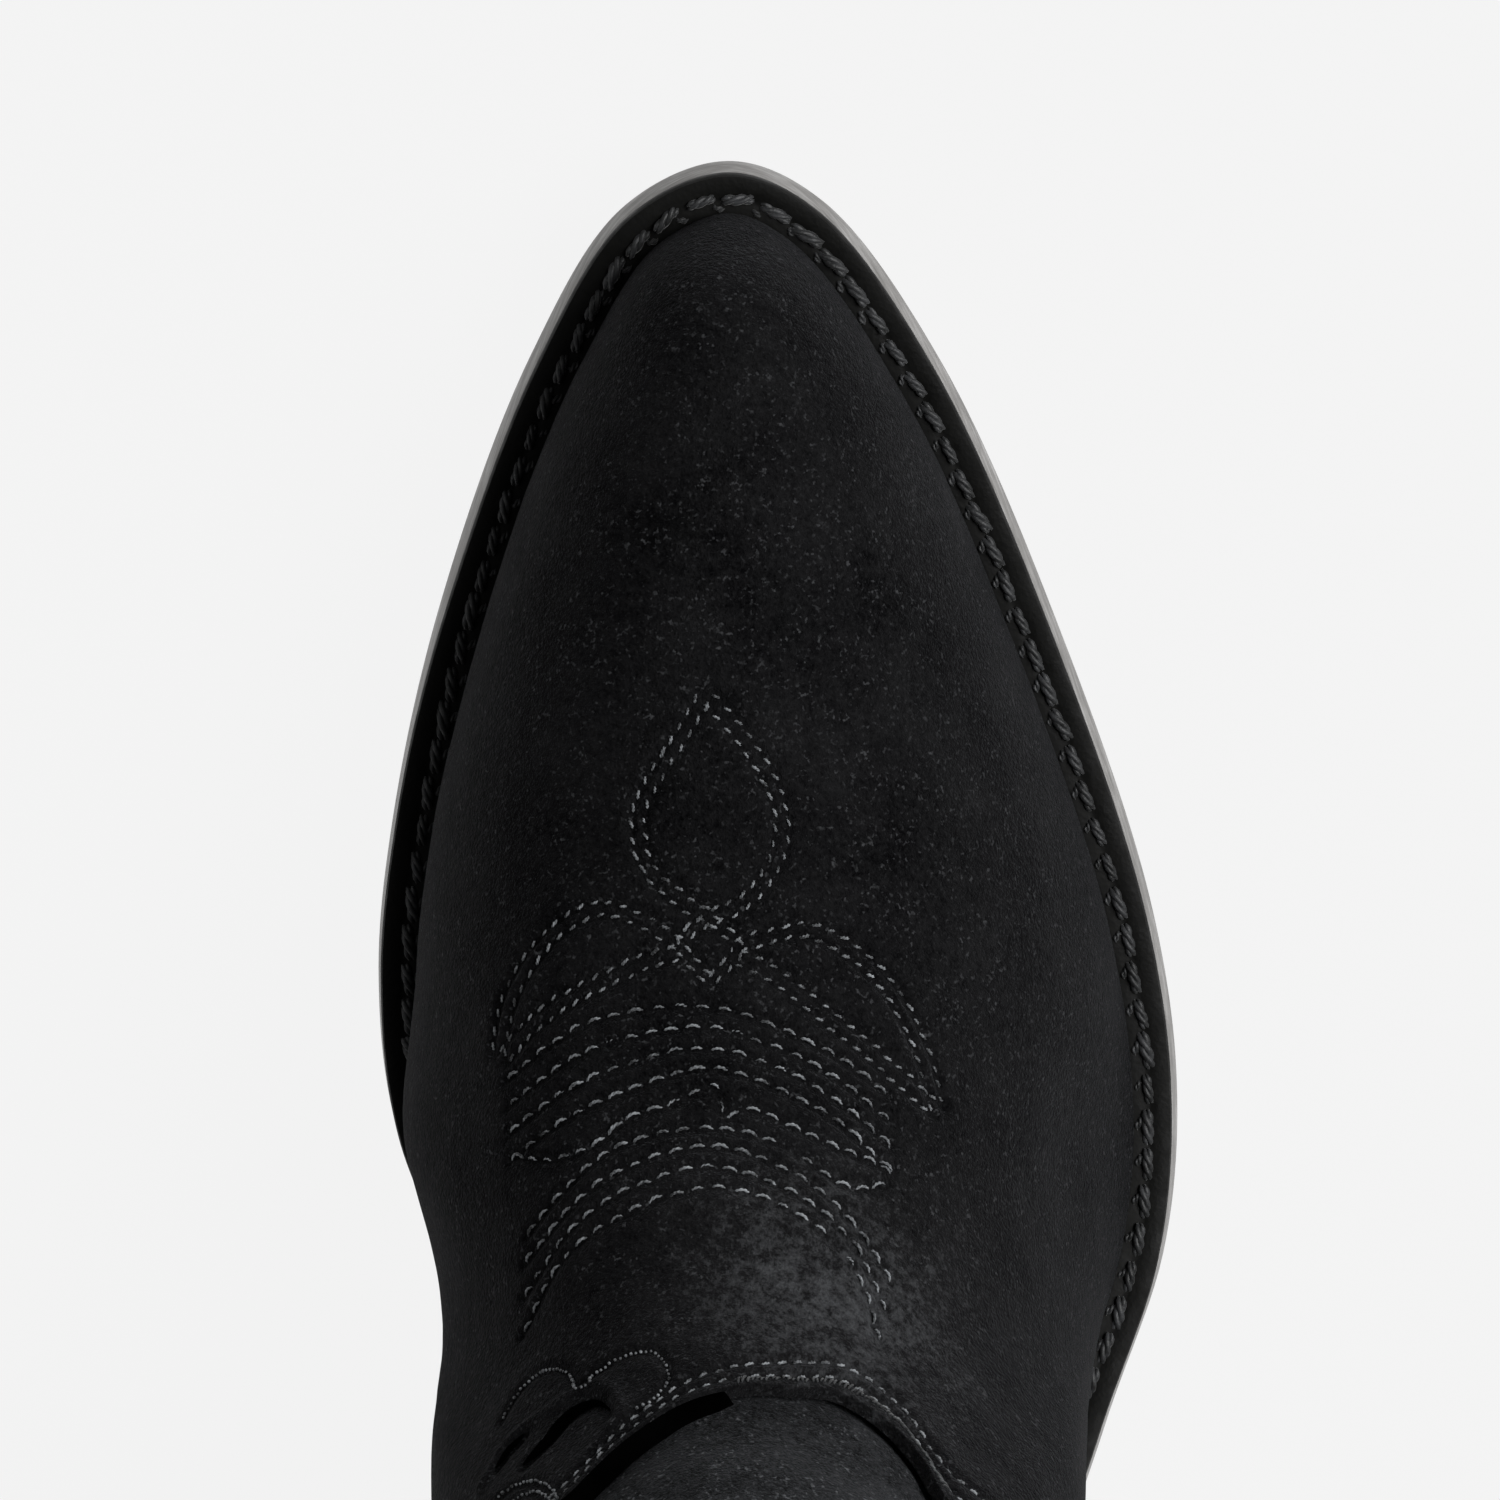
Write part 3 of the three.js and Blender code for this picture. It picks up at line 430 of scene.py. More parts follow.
class Look:
    """One node material around a Principled shader, in the object's own metres."""

    def __init__(self, name, **sockets):
        self.material = bpy.data.materials.new(name)
        self.material.use_nodes = True
        tree = self.material.node_tree
        self.nodes, self.links = tree.nodes, tree.links
        self.shader = self.nodes["Principled BSDF"]
        for socket, value in sockets.items():
            self.shader.inputs[socket.replace("_", " ")].default_value = value
        self.place = self.nodes.new("ShaderNodeTexCoord").outputs["Object"]

    def add(self, kind, **inputs):
        made = self.nodes.new(kind)
        for key, value in inputs.items():
            self.feed(made.inputs[key], value)
        return made

    def feed(self, socket, value):
        if isinstance(value, bpy.types.NodeSocket):
            self.links.new(value, socket)
        else:
            socket.default_value = value

    def noise(self, size, detail=3, roughness=0.5, stretch=(1, 1, 1)):
        """Noise with features about that many millimetres across."""
        mapped = self.add("ShaderNodeMapping", Vector=self.place, Scale=stretch)
        made = self.add("ShaderNodeTexNoise", Vector=mapped.outputs[0], Scale=1 / (size * MM), Detail=detail,
                        Roughness=roughness)
        return made.outputs["Fac"]

    def cells(self, size):
        return self.add("ShaderNodeTexVoronoi", Vector=self.place, Scale=1 / (size * MM)).outputs["Distance"]

    def ramp(self, value, *stops):
        """Colours or greys at positions of a value."""
        made = self.add("ShaderNodeValToRGB", Fac=value)
        while len(made.color_ramp.elements) < len(stops):
            made.color_ramp.elements.new(0.5)
        for element, (position, colour) in zip(made.color_ramp.elements, stops):
            element.position = position
            element.color = colour if isinstance(colour, tuple) else (colour, colour, colour, 1)
        return made.outputs["Color"]

    def math(self, operation, a, b=0.0):
        made = self.nodes.new("ShaderNodeMath")
        made.operation = operation
        self.feed(made.inputs[0], a)
        self.feed(made.inputs[1], b)
        return made.outputs[0]

    def add_up(self, *shares):
        """A sum of fields, each given as (field, weight)."""
        total = None
        for value, weight in shares:
            part = self.math("MULTIPLY", value, weight)
            total = part if total is None else self.math("ADD", total, part)
        return total

    def blend(self, share, a, b):
        made = self.nodes.new("ShaderNodeMix")
        made.data_type = "RGBA"
        self.feed(made.inputs["Factor"], share)
        self.feed(made.inputs[6], a)  # the colour A, after the number and vector sockets of that name
        self.feed(made.inputs[7], b)
        return made.outputs[2]

    def colour(self, value):
        self.feed(self.shader.inputs["Base Color"], value)

    def paint(self, value, *stops):
        self.colour(self.ramp(value, *stops))

    def polish(self, value, low, high):
        """Roughness between two values."""
        self.feed(self.shader.inputs["Roughness"], self.ramp(value, (0.3, low), (0.7, high)))

    def bump(self, height, strength, distance):
        made = self.add("ShaderNodeBump", Height=height, Strength=strength, Distance=distance * MM)
        self.links.new(made.outputs[0], self.shader.inputs["Normal"])


def rub_and_highlight(look, nap, x, t, z, reach):
    """A lighter rubbed place with a painted highlight, fading out at a distance from a point."""
    away = look.add("ShaderNodeVectorMath", Vector=look.place)
    away.operation = "DISTANCE"
    away.inputs[1].default_value = row((x, t, z)).tolist()
    wear_and_highlight = look.math("SUBTRACT", 1.0, look.math("DIVIDE", away.outputs["Value"], reach * MM))
    return look.math("MULTIPLY", look.math("MAXIMUM", wear_and_highlight, 0.0), look.ramp(nap, (0.3, 0.12), (0.62, 0.34)))


def suede(name, dark, light, fibre, rub_and_highlight_at=None):
    """Napped hide: cloudy patches, fine grain, a few pale fibres, and a painted highlight on a rubbed place
    (x, t, z, reach).
    """
    look = Look(name, Roughness=1.0, Specular_IOR_Level=0.06, Sheen_Weight=0.1, Sheen_Roughness=0.3)
    look.shader.inputs["Sheen Tint"].default_value = tone(170, 172, 178)
    clouds = look.noise(13, 3, 0.55)
    nap = look.noise(1.5, 4, 0.75)
    grain = look.noise(0.5, 2, 0.7)
    patches = look.add_up((clouds, 0.3), (nap, 0.4), (grain, 0.3))
    # painted highlight: the nap made lighter over the instep, where the light falls on it
    if rub_and_highlight_at is not None:
        patches = look.math("ADD", patches, rub_and_highlight(look, nap, *rub_and_highlight_at))
    base = look.ramp(patches, (0.38, dark), (0.6, light), (0.85, fibre))
    fleck = look.math("MULTIPLY", look.ramp(look.noise(0.6, 1), (0.6, 0.0), (0.72, 0.8)),
                      look.ramp(look.noise(2.2, 2), (0.4, 0.1), (0.65, 1.0)))
    look.colour(look.blend(fleck, base, fibre))
    look.bump(look.math("ADD", look.math("MULTIPLY", nap, 0.9), grain), 1.0, 0.5)
    return look.material


def leather(name, dark, light, roughness, grain, strength, gloss):
    """Smooth hide with pores."""
    look = Look(name, Specular_IOR_Level=gloss)
    look.paint(look.noise(6, 4, 0.6), (0.3, dark), (0.7, light))
    pores = look.cells(grain)
    look.polish(look.noise(3, 3), roughness - 0.08, roughness + 0.12)
    look.bump(look.math("ADD", pores, look.noise(0.4, 3)), strength, 0.12)
    return look.material


def sole_leather():
    """Grey burnished sole edge with lengthwise streaks; the face below is a little warmer and scuffed."""
    look = Look("sole_edge", Specular_IOR_Level=0.45)
    streaks = look.noise(9, 4, 0.7, (1, 1, 7))
    fine = look.noise(4, 3, 0.6, (1, 1, 12))
    wear_and_highlight = look.noise(16, 3, 0.6)
    layers = look.add_up((streaks, 0.6), (fine, 0.4))
    base = look.ramp(layers, (0.32, tone(88, 86, 84)), (0.5, tone(138, 136, 134)),
                     (0.66, tone(182, 181, 180)))
    look.colour(look.blend(look.ramp(wear_and_highlight, (0.45, 0.0), (0.7, 0.55)), base, tone(112, 109, 106)))
    look.polish(fine, 0.38, 0.6)
    look.bump(layers, 0.5, 0.15)
    return look.material


def stacked_leather():
    """Dark heel lifts, layered lengthwise."""
    look = Look("stacked_leather", Specular_IOR_Level=0.45)
    layers = look.noise(7, 4, 0.65, (1, 1, 22))
    look.paint(layers, (0.3, tone(22, 20, 19)), (0.6, tone(44, 39, 36)), (0.75, tone(62, 55, 50)))
    look.polish(look.noise(2, 3), 0.3, 0.5)
    look.bump(layers, 0.5, 0.2)
    return look.material


def thread(name, dark, light):
    """Waxed thread, mottled along its length."""
    look = Look(name, Roughness=0.5, Specular_IOR_Level=0.45, Sheen_Weight=0.2, Sheen_Roughness=0.4)
    fibres = look.add_up((look.noise(0.5, 3, 0.7), 0.5), (look.noise(3.5, 2), 0.5))
    look.paint(fibres, (0.4, dark), (0.62, light))
    look.bump(look.noise(0.3, 3), 0.6, 0.12)
    return look.material


def rubber():
    look = Look("heel_rubber", Specular_IOR_Level=0.3)
    look.paint(look.noise(4, 3), (0.3, tone(17, 17, 17)), (0.7, tone(30, 30, 30)))
    look.polish(look.noise(1.5, 3), 0.6, 0.8)
    look.bump(look.cells(1.6), 0.35, 0.2)
    return look.material


def cork():
    look = Look("cork", Roughness=0.95)
    look.paint(look.cells(2.5), (0.1, tone(176, 134, 84)), (0.6, tone(108, 74, 44)))
    look.bump(look.cells(2.5), 0.6, 0.4)
    return look.material


def board():
    look = Look("board", Roughness=0.9)
    look.paint(look.noise(1.2, 4), (0.3, tone(150, 118, 78)), (0.7, tone(186, 152, 108)))
    look.bump(look.noise(0.6, 3), 0.4, 0.1)
    return look.material


def wood():
    look = Look("peg_wood", Roughness=0.75)
    rings = look.noise(2, 4, 0.6, (6, 6, 1))
    look.paint(rings, (0.3, tone(168, 132, 84)), (0.7, tone(206, 176, 128)))
    look.bump(look.noise(1, 3, 0.5, (8, 8, 1)), 0.4, 0.1)
    return look.material


def metal(name, dark, light, roughness):
    look = Look(name, Metallic=1.0)
    brushed = look.noise(2, 3, 0.6, (1, 12, 1))
    look.paint(brushed, (0.3, dark), (0.7, light))
    look.polish(brushed, roughness, roughness + 0.15)
    look.bump(brushed, 0.2, 0.03)
    return look.material


BLACK = tone(3, 3, 4)
CHARCOAL = tone(27, 27, 28)
# the instep's rubbed nap, lighter, with a painted highlight where the light falls on it
INSTEP_RUB_AND_HIGHLIGHT = (-10, 176, 95, 28)
SUEDE = suede("suede", BLACK, CHARCOAL, tone(58, 59, 61))
VAMP_SUEDE = suede("vamp_suede", BLACK, CHARCOAL, tone(68, 69, 71), INSTEP_RUB_AND_HIGHLIGHT)
# painted light: the shaft's black suede made lighter than the vamp's, where the shaft faces the light
SHAFT_SUEDE_LIT = suede("shaft_suede", tone(11, 12, 12), tone(50, 51, 53), tone(100, 102, 105))
WELT_LEATHER = leather("welt_leather", tone(11, 11, 10), tone(19, 19, 18), 0.6, 0.8, 0.35, 0.14)
SOLE_LEATHER = sole_leather()
STACKED = stacked_leather()
# near-black leather for painted shade: the strips in the lobe grooves and the fillet under the tongue's edge
PAINTED_SHADE_BLACK = leather("painted_shade_leather", tone(1, 1, 1), tone(3, 3, 3), 0.9, 0.8, 0.2, 0.0)
LINING = leather("lining_leather", tone(128, 98, 68), tone(158, 126, 92), 0.65, 1.2, 0.3, 0.35)
WELT_THREAD = thread("welt_thread", tone(24, 25, 25), tone(58, 59, 61))
FANCY_THREAD = thread("fancy_thread", tone(34, 36, 38), tone(150, 154, 158))
SATIN_THREAD = thread("satin_thread", tone(18, 19, 20), tone(62, 64, 66))
RUBBER = rubber()
BOARD = board()
NODE_LOOKS = {
    "cork_filler": cork(),
    "shank": metal("steel", tone(150, 152, 155), tone(190, 192, 195), 0.3),
    "insole": BOARD,
}
PEG_WOOD = wood()
BRASS = metal("brass", tone(150, 112, 52), tone(206, 168, 96), 0.32)


# ---------- Stitch lines on the vamp, as (t, x) seen from above ----------
ROW_GAP = 1.6  # between the two rows of a double line


def offset(line, distance):
    """A line moved sideways."""
    along = unit(np.gradient(line, axis=0))
    return line + distance * np.stack([along[:, 1], -along[:, 0]], axis=1)


def double(line, gap=ROW_GAP):
    return [offset(line, gap / 2), offset(line, -gap / 2)]


def plan(points, count=60):
    return spline(points, count)


BUG_TIP = (243, 7)
BUG_WAIST = (216.5, 6.5)
KNOT_END = (209, 6.5)
KNOT_GAP = 1.2
BUG_OUTLINES = [
    plan([BUG_TIP, (236, 11.5), (230, 15), (226.5, 15.5), (222, 14), (218.5, 10), BUG_WAIST]),
    plan([BUG_TIP, (238, 2.5), (231.5, -1.5), (226.5, -2.5), (222.5, -1.5), (218.5, 2), BUG_WAIST]),
    plan([(213, 10), (215.5, 14), (217, 20), (214, 25.5), (209, 29.5), (203.5, 32), (197.5, 33)]),
    plan([(212.5, 10), (211, 15), (208.5, 20), (205.5, 25), (202, 29), (197.5, 32.5)]),
    plan([(213, 3.5), (214, 0), (214.5, -6), (210.5, -12.5), (206, -16.5), (199, -20), (191.5, -22)]),
    plan([(212, 3.5), (210, -1), (204, -8.5), (198.5, -15), (192, -21.5)]),
]
BUG = [line for outline in BUG_OUTLINES for line in double(outline)]
for side_point in ((213.5, 10), (213, 3)):
    BUG += double(plan([BUG_WAIST, side_point, KNOT_END], 16), KNOT_GAP)


def rows_between(first, last, count):
    a, b = plan(first), plan(last)
    return [mix(a, b, k / (count - 1)) for k in range(count)]


WRINKLES = rows_between([(195, 32), (201, 25.5), (204.5, 19), (206, 6.5), (201.5, -6), (194.5, -16)],
                        [(186, 31.5), (192, 24.5), (196, 17), (199, 6.5), (193.5, -7.5), (185.5, -16.5)], 4)
WRINKLES += [
    plan([(186.6, 31.2), (186.8, 28), (187.6, 24.8), (190.2, 20.1), (193.3, 16.1), (194.8, 11.5), (197, 5.9),
          (193.6, 4.6), (194.5, 2), (193.4, -1.2), (189.2, -9.7), (185.7, -16.5)], 90),
    plan([(177.8, 29.2), (184.3, 24.4), (190, 17.5), (192.4, 6.5), (190.5, -2), (187.1, -7.4),
          (185.5, -9.7), (184.6, -12.5), (184.6, -15.6)], 90),
]
WRINKLES += rows_between(
    [(174.5, 29.5), (183, 23), (187.5, 17), (190.4, 6.5), (186.5, -5), (180, -12), (174, -16)],
    [(166.4, 29.6), (177, 24), (182.5, 17), (186, 6.5), (183, -4), (177, -11), (168.5, -14.5)], 3)
LOBES = [
    plan([(157.4, 32.1), (159.6, 30.8), (161.8, 29.2), (163.5, 27.4), (164.5, 25.4), (164.6, 23.9),
          (163.8, 22.8)]),
    plan([(164, 22.4), (165.8, 20), (167.4, 17.7), (168.6, 15), (168.8, 13.2), (168.2, 11.9), (167, 11.4),
          (165.6, 12.1), (164.6, 13.4), (163.4, 15.4)]),
    plan([(151.3, 32.3), (152.6, 30.9), (154, 28.6), (154.6, 26.4), (154.2, 24.5)], 30),
    plan([(151.4, 31), (152.4, 29.8), (153.3, 28.4), (153.8, 26.6), (153.4, 25.2)], 30),
]
# dark strokes beside the scroll lobes: grooves that hold near-black strips of painted shadow
SHADOW_STROKES = [
    plan([(155, 29.2), (158.3, 26), (160.4, 24.1), (162.1, 21.9), (162.9, 19.9), (162.6, 18.5)], 60),
    plan([(153.5, 32.7), (155.5, 31.1), (157.6, 29.2)], 30),
]
SHADOW_STROKE_WIDTHS = (1.5, 0.7)
RIM = plan([(151.4, 34.4), (155, 32), (158.4, 28.9), (160.2, 26.6), (162, 24.3), (163.7, 21.8), (164.5, 19.6),
            (164.2, 17.6), (162.8, 17), (161.6, 18)])

# ---------- The vamp ----------
VAMP_SIDE_LEVEL = 5.5
SEAM_PLAY = 0.0006  # radians left open at a side seam
COUNTER_RISE = 0.35
vamp_top = through([(0, VAMP_SIDE_LEVEL), (0.1, 6.75), (0.2, 7.75), (0.26, 8.22), (0.3, 8.36), (0.325, 8.27),
                    (0.346, 7.98), (0.37, 7.82), (0.4, 7.77), (0.45, 7.88), (0.5, 7.93), (0.57, 8.0),
                    (0.62, 8.12), (0.67, 8.27), (0.73, 8.24), (0.8, 7.7), (0.9, 6.75), (1, VAMP_SIDE_LEVEL)])
stitch_drop = through([(0.3, 0.44), (0.36, 0.38), (0.4, 0.3), (0.5, 0.21), (0.6, 0.17), (0.7, 0.16)])


def bottom_level(u):
    return 0 * u


def counter_top(u):
    return mix(THROAT_LEVEL + COUNTER_RISE, VAMP_SIDE_LEVEL, np.abs(2 * u - 1) ** 1.6)


def front_angle(u, s):
    return (2 * u - 1) * (seam_angle(s) - SEAM_PLAY)


def back_angle(u, s):
    return math.pi + (2 * u - 1) * (math.pi - seam_angle(s) - SEAM_PLAY)


def panel_grid(angle, bottom, top, columns, rows):
    """Angles and levels over a panel, with rows evenly spaced up its middle."""
    u = np.linspace(0, 1, columns)[None, :]
    trial = np.linspace(0, 1, 400)
    middle = np.array([0.5])
    s = mix(bottom(middle), top(middle), trial)
    length = lengths(surface(angle(middle, s), s))
    v = np.interp(np.linspace(0, length[-1], rows), length, trial)[:, None]
    s = mix(bottom(u), top(u), v)
    return angle(u, s), s


def tree_of(grid):
    return BVHTree.FromPolygons(grid.reshape(-1, 3).tolist(), quads(*grid.shape[:2]).tolist())


def facing(normal, away):
    return (normal if normal.dot(away) > 0 else -normal)[:]


def dropped(tree, line):
    """A plan line laid on the surface below it, as points and normals."""
    up = Vector((0, 0, 1))
    points, normals = [], []
    for t, x in line:
        hit, normal, _, _ = tree.ray_cast(Vector((x, t, SHAFT_TOP + SCALLOP)), -up)
        if hit is not None:
            points.append(hit[:])
            normals.append(facing(normal, up))
    return np.array(points), np.array(normals)


LINE_STEP = 0.4


def near(lines, points, reach):
    """Distance from each point to the nearest of some stitch lines, no larger than reach."""
    dense = np.vstack([evenly(line, max(4, int(lengths(line)[-1] / LINE_STEP))) for line in lines])
    tree = KDTree(len(dense))
    for i, point in enumerate(dense):
        tree.insert(point, i)
    tree.balance()
    low, high = dense.min(axis=0) - reach, dense.max(axis=0) + reach
    flat = points.reshape(-1, 3)
    inside = np.all((flat > low) & (flat < high), axis=1)
    result = np.full(len(flat), float(reach))
    for i in np.flatnonzero(inside):
        result[i] = min(reach, tree.find(flat[i])[2])
    return result.reshape(points.shape[:-1])


GROOVE_DEPTH = 0.35
GROOVE_HALF = 0.6
PUFF_START = 0.3
PUFF_TOP = 1.3
PUFF_REACH = 9.0


def quilted(points, normals, lines, puff=0.3):
    """Presses a groove along stitch lines and lets the leather puff up beside them."""
    d = near(lines, points, PUFF_REACH)
    swell = puff * smooth(d, PUFF_START, PUFF_TOP) * (1 - smooth(d, PUFF_TOP, PUFF_REACH))
    groove = -GROOVE_DEPTH * np.exp(-(d / GROOVE_HALF) ** 2)
    return points + normals * (swell + groove)[..., None]


def ridged(points, normals, lines, height, width):
    """Raises a soft ridge along lines, or presses one in."""
    d = near(lines, points, 3 * width)
    return points + normals * (height * np.exp(-(d / width) ** 2))[..., None]


def lived_in(points, normals, amount=0.22):
    """The slight unevenness of a lasted hide."""
    wave = noise(points, 22) + 0.4 * noise(points + 50, 8) + 0.12 * noise(points, 2.5)
    return points + normals * (amount * wave)[..., None]


FOOT_TUCK = 0.7
FOOT_GAP = 0.05


def footed(grid, normals):
    """Adds a bottom row that tucks the panel in and down onto the welt."""
    foot = grid[0] - normals[0] * FOOT_TUCK
    foot[:, 2] -= UPPER_FOOT - WELT_TOP - FOOT_GAP
    return np.concatenate([foot[None], grid])


def edge_places(angle, top, drop, shares, span=(0.01, 0.99)):
    """Places (angle, level) of lines below a panel's top edge, at shares of a drop that may vary along it."""
    u = np.linspace(*span, 260)
    levels = [top(u) - drop(u) * share for share in shares]
    return [(angle(u, s), s) for s in levels]


VAMP_ROWS = edge_places(front_angle, vamp_top, stitch_drop, (1, 0.5))


def vamp_surface(plain, normal):
    """The vamp's outer face, with its quilting, its raised rim and the grooves that hold its painted shadow
    strips.
    """
    tree = tree_of(plain)

    def laid(lines):
        return [dropped(tree, line)[0] for line in lines]

    edge = [surface(a, s) for a, s in VAMP_ROWS]
    outer = quilted(lived_in(plain, normal), normal, laid(BUG + WRINKLES + LOBES) + edge)
    outer = ridged(outer, normal, laid([RIM]), 0.7, 1.0)
    return ridged(outer, normal, laid(SHADOW_STROKES), -0.9, 0.8)


def foot_panel(name, node, angle, top, grid_size, dressed, material):
    """A panel that stands on the welt. Returns the tree of its outer face."""
    a, s = panel_grid(angle, bottom_level, top, *grid_size)
    normal = outward(a, s)
    outer = dressed(surface(a, s), normal)
    made = shell(name, footed(outer, normal), footed(under(a, s, LEATHER), normal), material)
    finished(made, "suede", node)
    return tree_of(outer)


vamp_tree = foot_panel("vamp_upper", "vamp", front_angle, vamp_top, (330, 250), vamp_surface, VAMP_SUEDE)


SHADOW_STRIP_SECTION = [(-1, -0.4), (-1, 0.12), (0, 0.16), (1, 0.12), (1, -0.4)]


def shadow_strip(name, tree, line, width):
    """A near-black strip of painted shadow in the bottom of a groove, pointed at both ends, where a scroll
    lobe's edge casts its shadow.
    """
    points, normals = dropped(tree, line)
    across = np.cross(normals, unit(np.gradient(points, axis=0)))
    half = width / 2 * np.clip(np.sin(np.linspace(0, math.pi, len(points))), 0.06, 1) ** 0.6
    rings = [points + across * (half * side)[:, None] + normals * height for side, height in SHADOW_STRIP_SECTION]
    finished(loft(name, np.stack(rings, axis=1), PAINTED_SHADE_BLACK), "suede")


# near-black strips of painted shadow along the lobes' grooves
for i, (line, width) in enumerate(zip(SHADOW_STROKES, SHADOW_STROKE_WIDTHS)):
    shadow_strip(f"lobe_inlay_{i + 1}", vamp_tree, line, width)

# the near-black fillet along the tongue's edge is painted shade
EDGE_SPAN = (0.505, 0.69)
EDGE_FULL = (0.535, 0.655)
EDGE_SUNK = 2.6
EDGE_SECTION = [(-0.012, 1.3), (-0.006, 0.15), (0.006, 0.15), (0.024, 0.9), (0.045, 1.9), (0.05, 2.7),
                (0, 2.7)]


def shaded_tongue_edge():
    """The vamp's turned edge and the shade under it, as a near-black fillet of painted shade; it stands open
    on its inner half and sinks away at both ends.
    """
    u = np.linspace(*EDGE_SPAN, 90)
    full = smooth(u, EDGE_SPAN[0] - 0.002, EDGE_FULL[0]) * (1 - smooth(u, EDGE_FULL[1], EDGE_SPAN[1]))
    rings = []
    for reach, depth in EDGE_SECTION:
        s = vamp_top(u) + reach * mix(0.1, 1, full)
        rings.append(under(front_angle(u, s), s, mix(EDGE_SUNK, depth, smooth(full, 0, 0.5))))
    finished(loft("tongue_turned_edge", np.stack(rings, axis=1), PAINTED_SHADE_BLACK), "suede")


shaded_tongue_edge()

# ---------- The counter ----------
COUNTER_DROP = 0.21
COUNTER_ROWS = edge_places(back_angle, counter_top, lambda u: COUNTER_DROP + 0 * u, (1, 0.45))


def counter_surface(plain, normal):
    return quilted(lived_in(plain, normal), normal, [surface(a, s) for a, s in COUNTER_ROWS])


counter_tree = foot_panel("counter_cover", "counter", back_angle, counter_top, (200, 170), counter_surface,
                          SUEDE)

# ---------- The shaft ----------
SEEN_LAP = 0.5  # levels that a shaft panel runs on under the vamp or counter
LAP_SINK = 0.7


def level_at(a, z, low=5.0):
    """The level at which the surface reaches a height, for each angle."""
    trial = np.linspace(low, TOP_LEVEL, 160)
    heights = surface(np.asarray(a)[:, None], trial[None, :])[..., 2]
    return np.array([np.interp(height, column, trial) for height, column in zip(z, heights)])


def shaft_line(angle, points):
    """A line on a shaft panel through (share from the middle to the seam, height) points."""
    share, z = evenly(points, 220).T
    u = 0.5 + 0.5 * share
    s = level_at(angle(u, np.full_like(share, ANKLE_LEVEL + 1)), z)
    return angle(u, s), s


PANEL_HALF = 72  # from the middle of a shaft panel round to its seam, in millimetres
PANEL_MARGIN = 2.5
PATTERN_GAP = 2.6
FLAME = [(0, 163), (14, 176), (34, 198), (47, 222), (43, 240), (31, 250), (20, 261), (13, 275), (0, 292)]
LEAF = [(0, 188), (12, 200), (22, 216), (20, 232), (10, 245), (0, 256)]
WING = [(68, 184), (59, 200), (62, 218), (55, 234), (50, 250), (57, 268), (67, 286)]


def rows_inside(points, count, inward):
    """Parallel rows beside an outline given as (distance from the middle, height)."""
    line = spline(points, 240)
    rows = [offset(line, inward * PATTERN_GAP * k) for k in range(count)]
    return [r[(r[:, 0] >= 0) & (r[:, 0] < PANEL_HALF - PANEL_MARGIN)] for r in rows]


def shaft_pattern(angle):
    """Stitched flames on both halves of a panel, as lines of (angle, level)."""
    outlines = rows_inside(FLAME, 4, -1) + rows_inside(LEAF, 2, -1) + rows_inside(WING, 3, 1)
    return [shaft_line(angle, np.stack([side * line[:, 0] / PANEL_HALF, line[:, 1]], -1))
            for line in outlines for side in (-1, 1)]


FOLD_HEIGHT = 138
FOLD_REACH = 26
FOLD_DEPTH = 0.55
FOLD_TURNS = 0.42  # radians of the wave in a millimetre of height


def shaft_folds(points, normals, amount):
    """Soft creases across the ankle, where a boot bends."""
    fade = np.exp(-((points[..., 2] - FOLD_HEIGHT) / FOLD_REACH) ** 2)
    wave = np.sin(points[..., 2] * FOLD_TURNS + 1.2 * noise(points, 30) + 0.05 * points[..., 0])
    return points + normals * (FOLD_DEPTH * fade * wave * amount)[..., None]


def shaft_panel(name, node, angle, top, grid_size, fold):
    """A stitched panel of the shaft. Returns the tree of its outer face, and its stitch lines."""
    a, s = panel_grid(angle, lambda u: top(u) - SEEN_LAP, lambda u: TOP_LEVEL + 0 * u, *grid_size)
    normal = outward(a, s)
    lap = 1 - smooth(s - s[:1], 0.3, 0.6)
    plain = surface(a, s) - normal * (SECOND_LAYER + LAP_SINK * lap)[..., None]
    pattern = shaft_pattern(angle)
    lines = [under(pa, ps, np.full(len(pa), SECOND_LAYER)) for pa, ps in pattern]
    outer = quilted(shaft_folds(lived_in(plain, normal, 0.3), normal, fold), normal, lines, 0.35)
    finished(shell(name, outer, under(a, s, SECOND_LAYER + LEATHER), SHAFT_SUEDE_LIT), "shaft_suede", node)
    return tree_of(outer), pattern


front_tree, front_pattern = shaft_panel("shaft_front_panel", "shaft_front", front_angle, vamp_top,
                                        (220, 190), 1.0)
back_tree, back_pattern = shaft_panel("shaft_back_panel", "shaft_back", back_angle, counter_top,
                                      (170, 180), 0.4)

# ---------- Linings ----------
LINING_JOIN = 6.5
JOIN_PLAY = 0.03
THIN_BEVEL = 0.2


def lining(name, node, angle, bottom, top, grid_size):
    a, s = panel_grid(angle, lambda u: bottom + 0 * u, lambda u: top + 0 * u, *grid_size)
    made = shell(name, under(a, s, LINING_LAYER), under(a, s, UPPER_DEPTH), LINING, bevel=THIN_BEVEL)
    finished(made, "lining_leather", node)


PUFF_SHARE = 18 / 26
PUFF_LEVELS = (3.2, 2)  # the top edge of the toe's board, in its middle and at its sides
STIFFENER_SHARE = 10 / 18
STIFFENER_LEVELS = (4.2, 2.6)
BOARD_THICK = 1.2


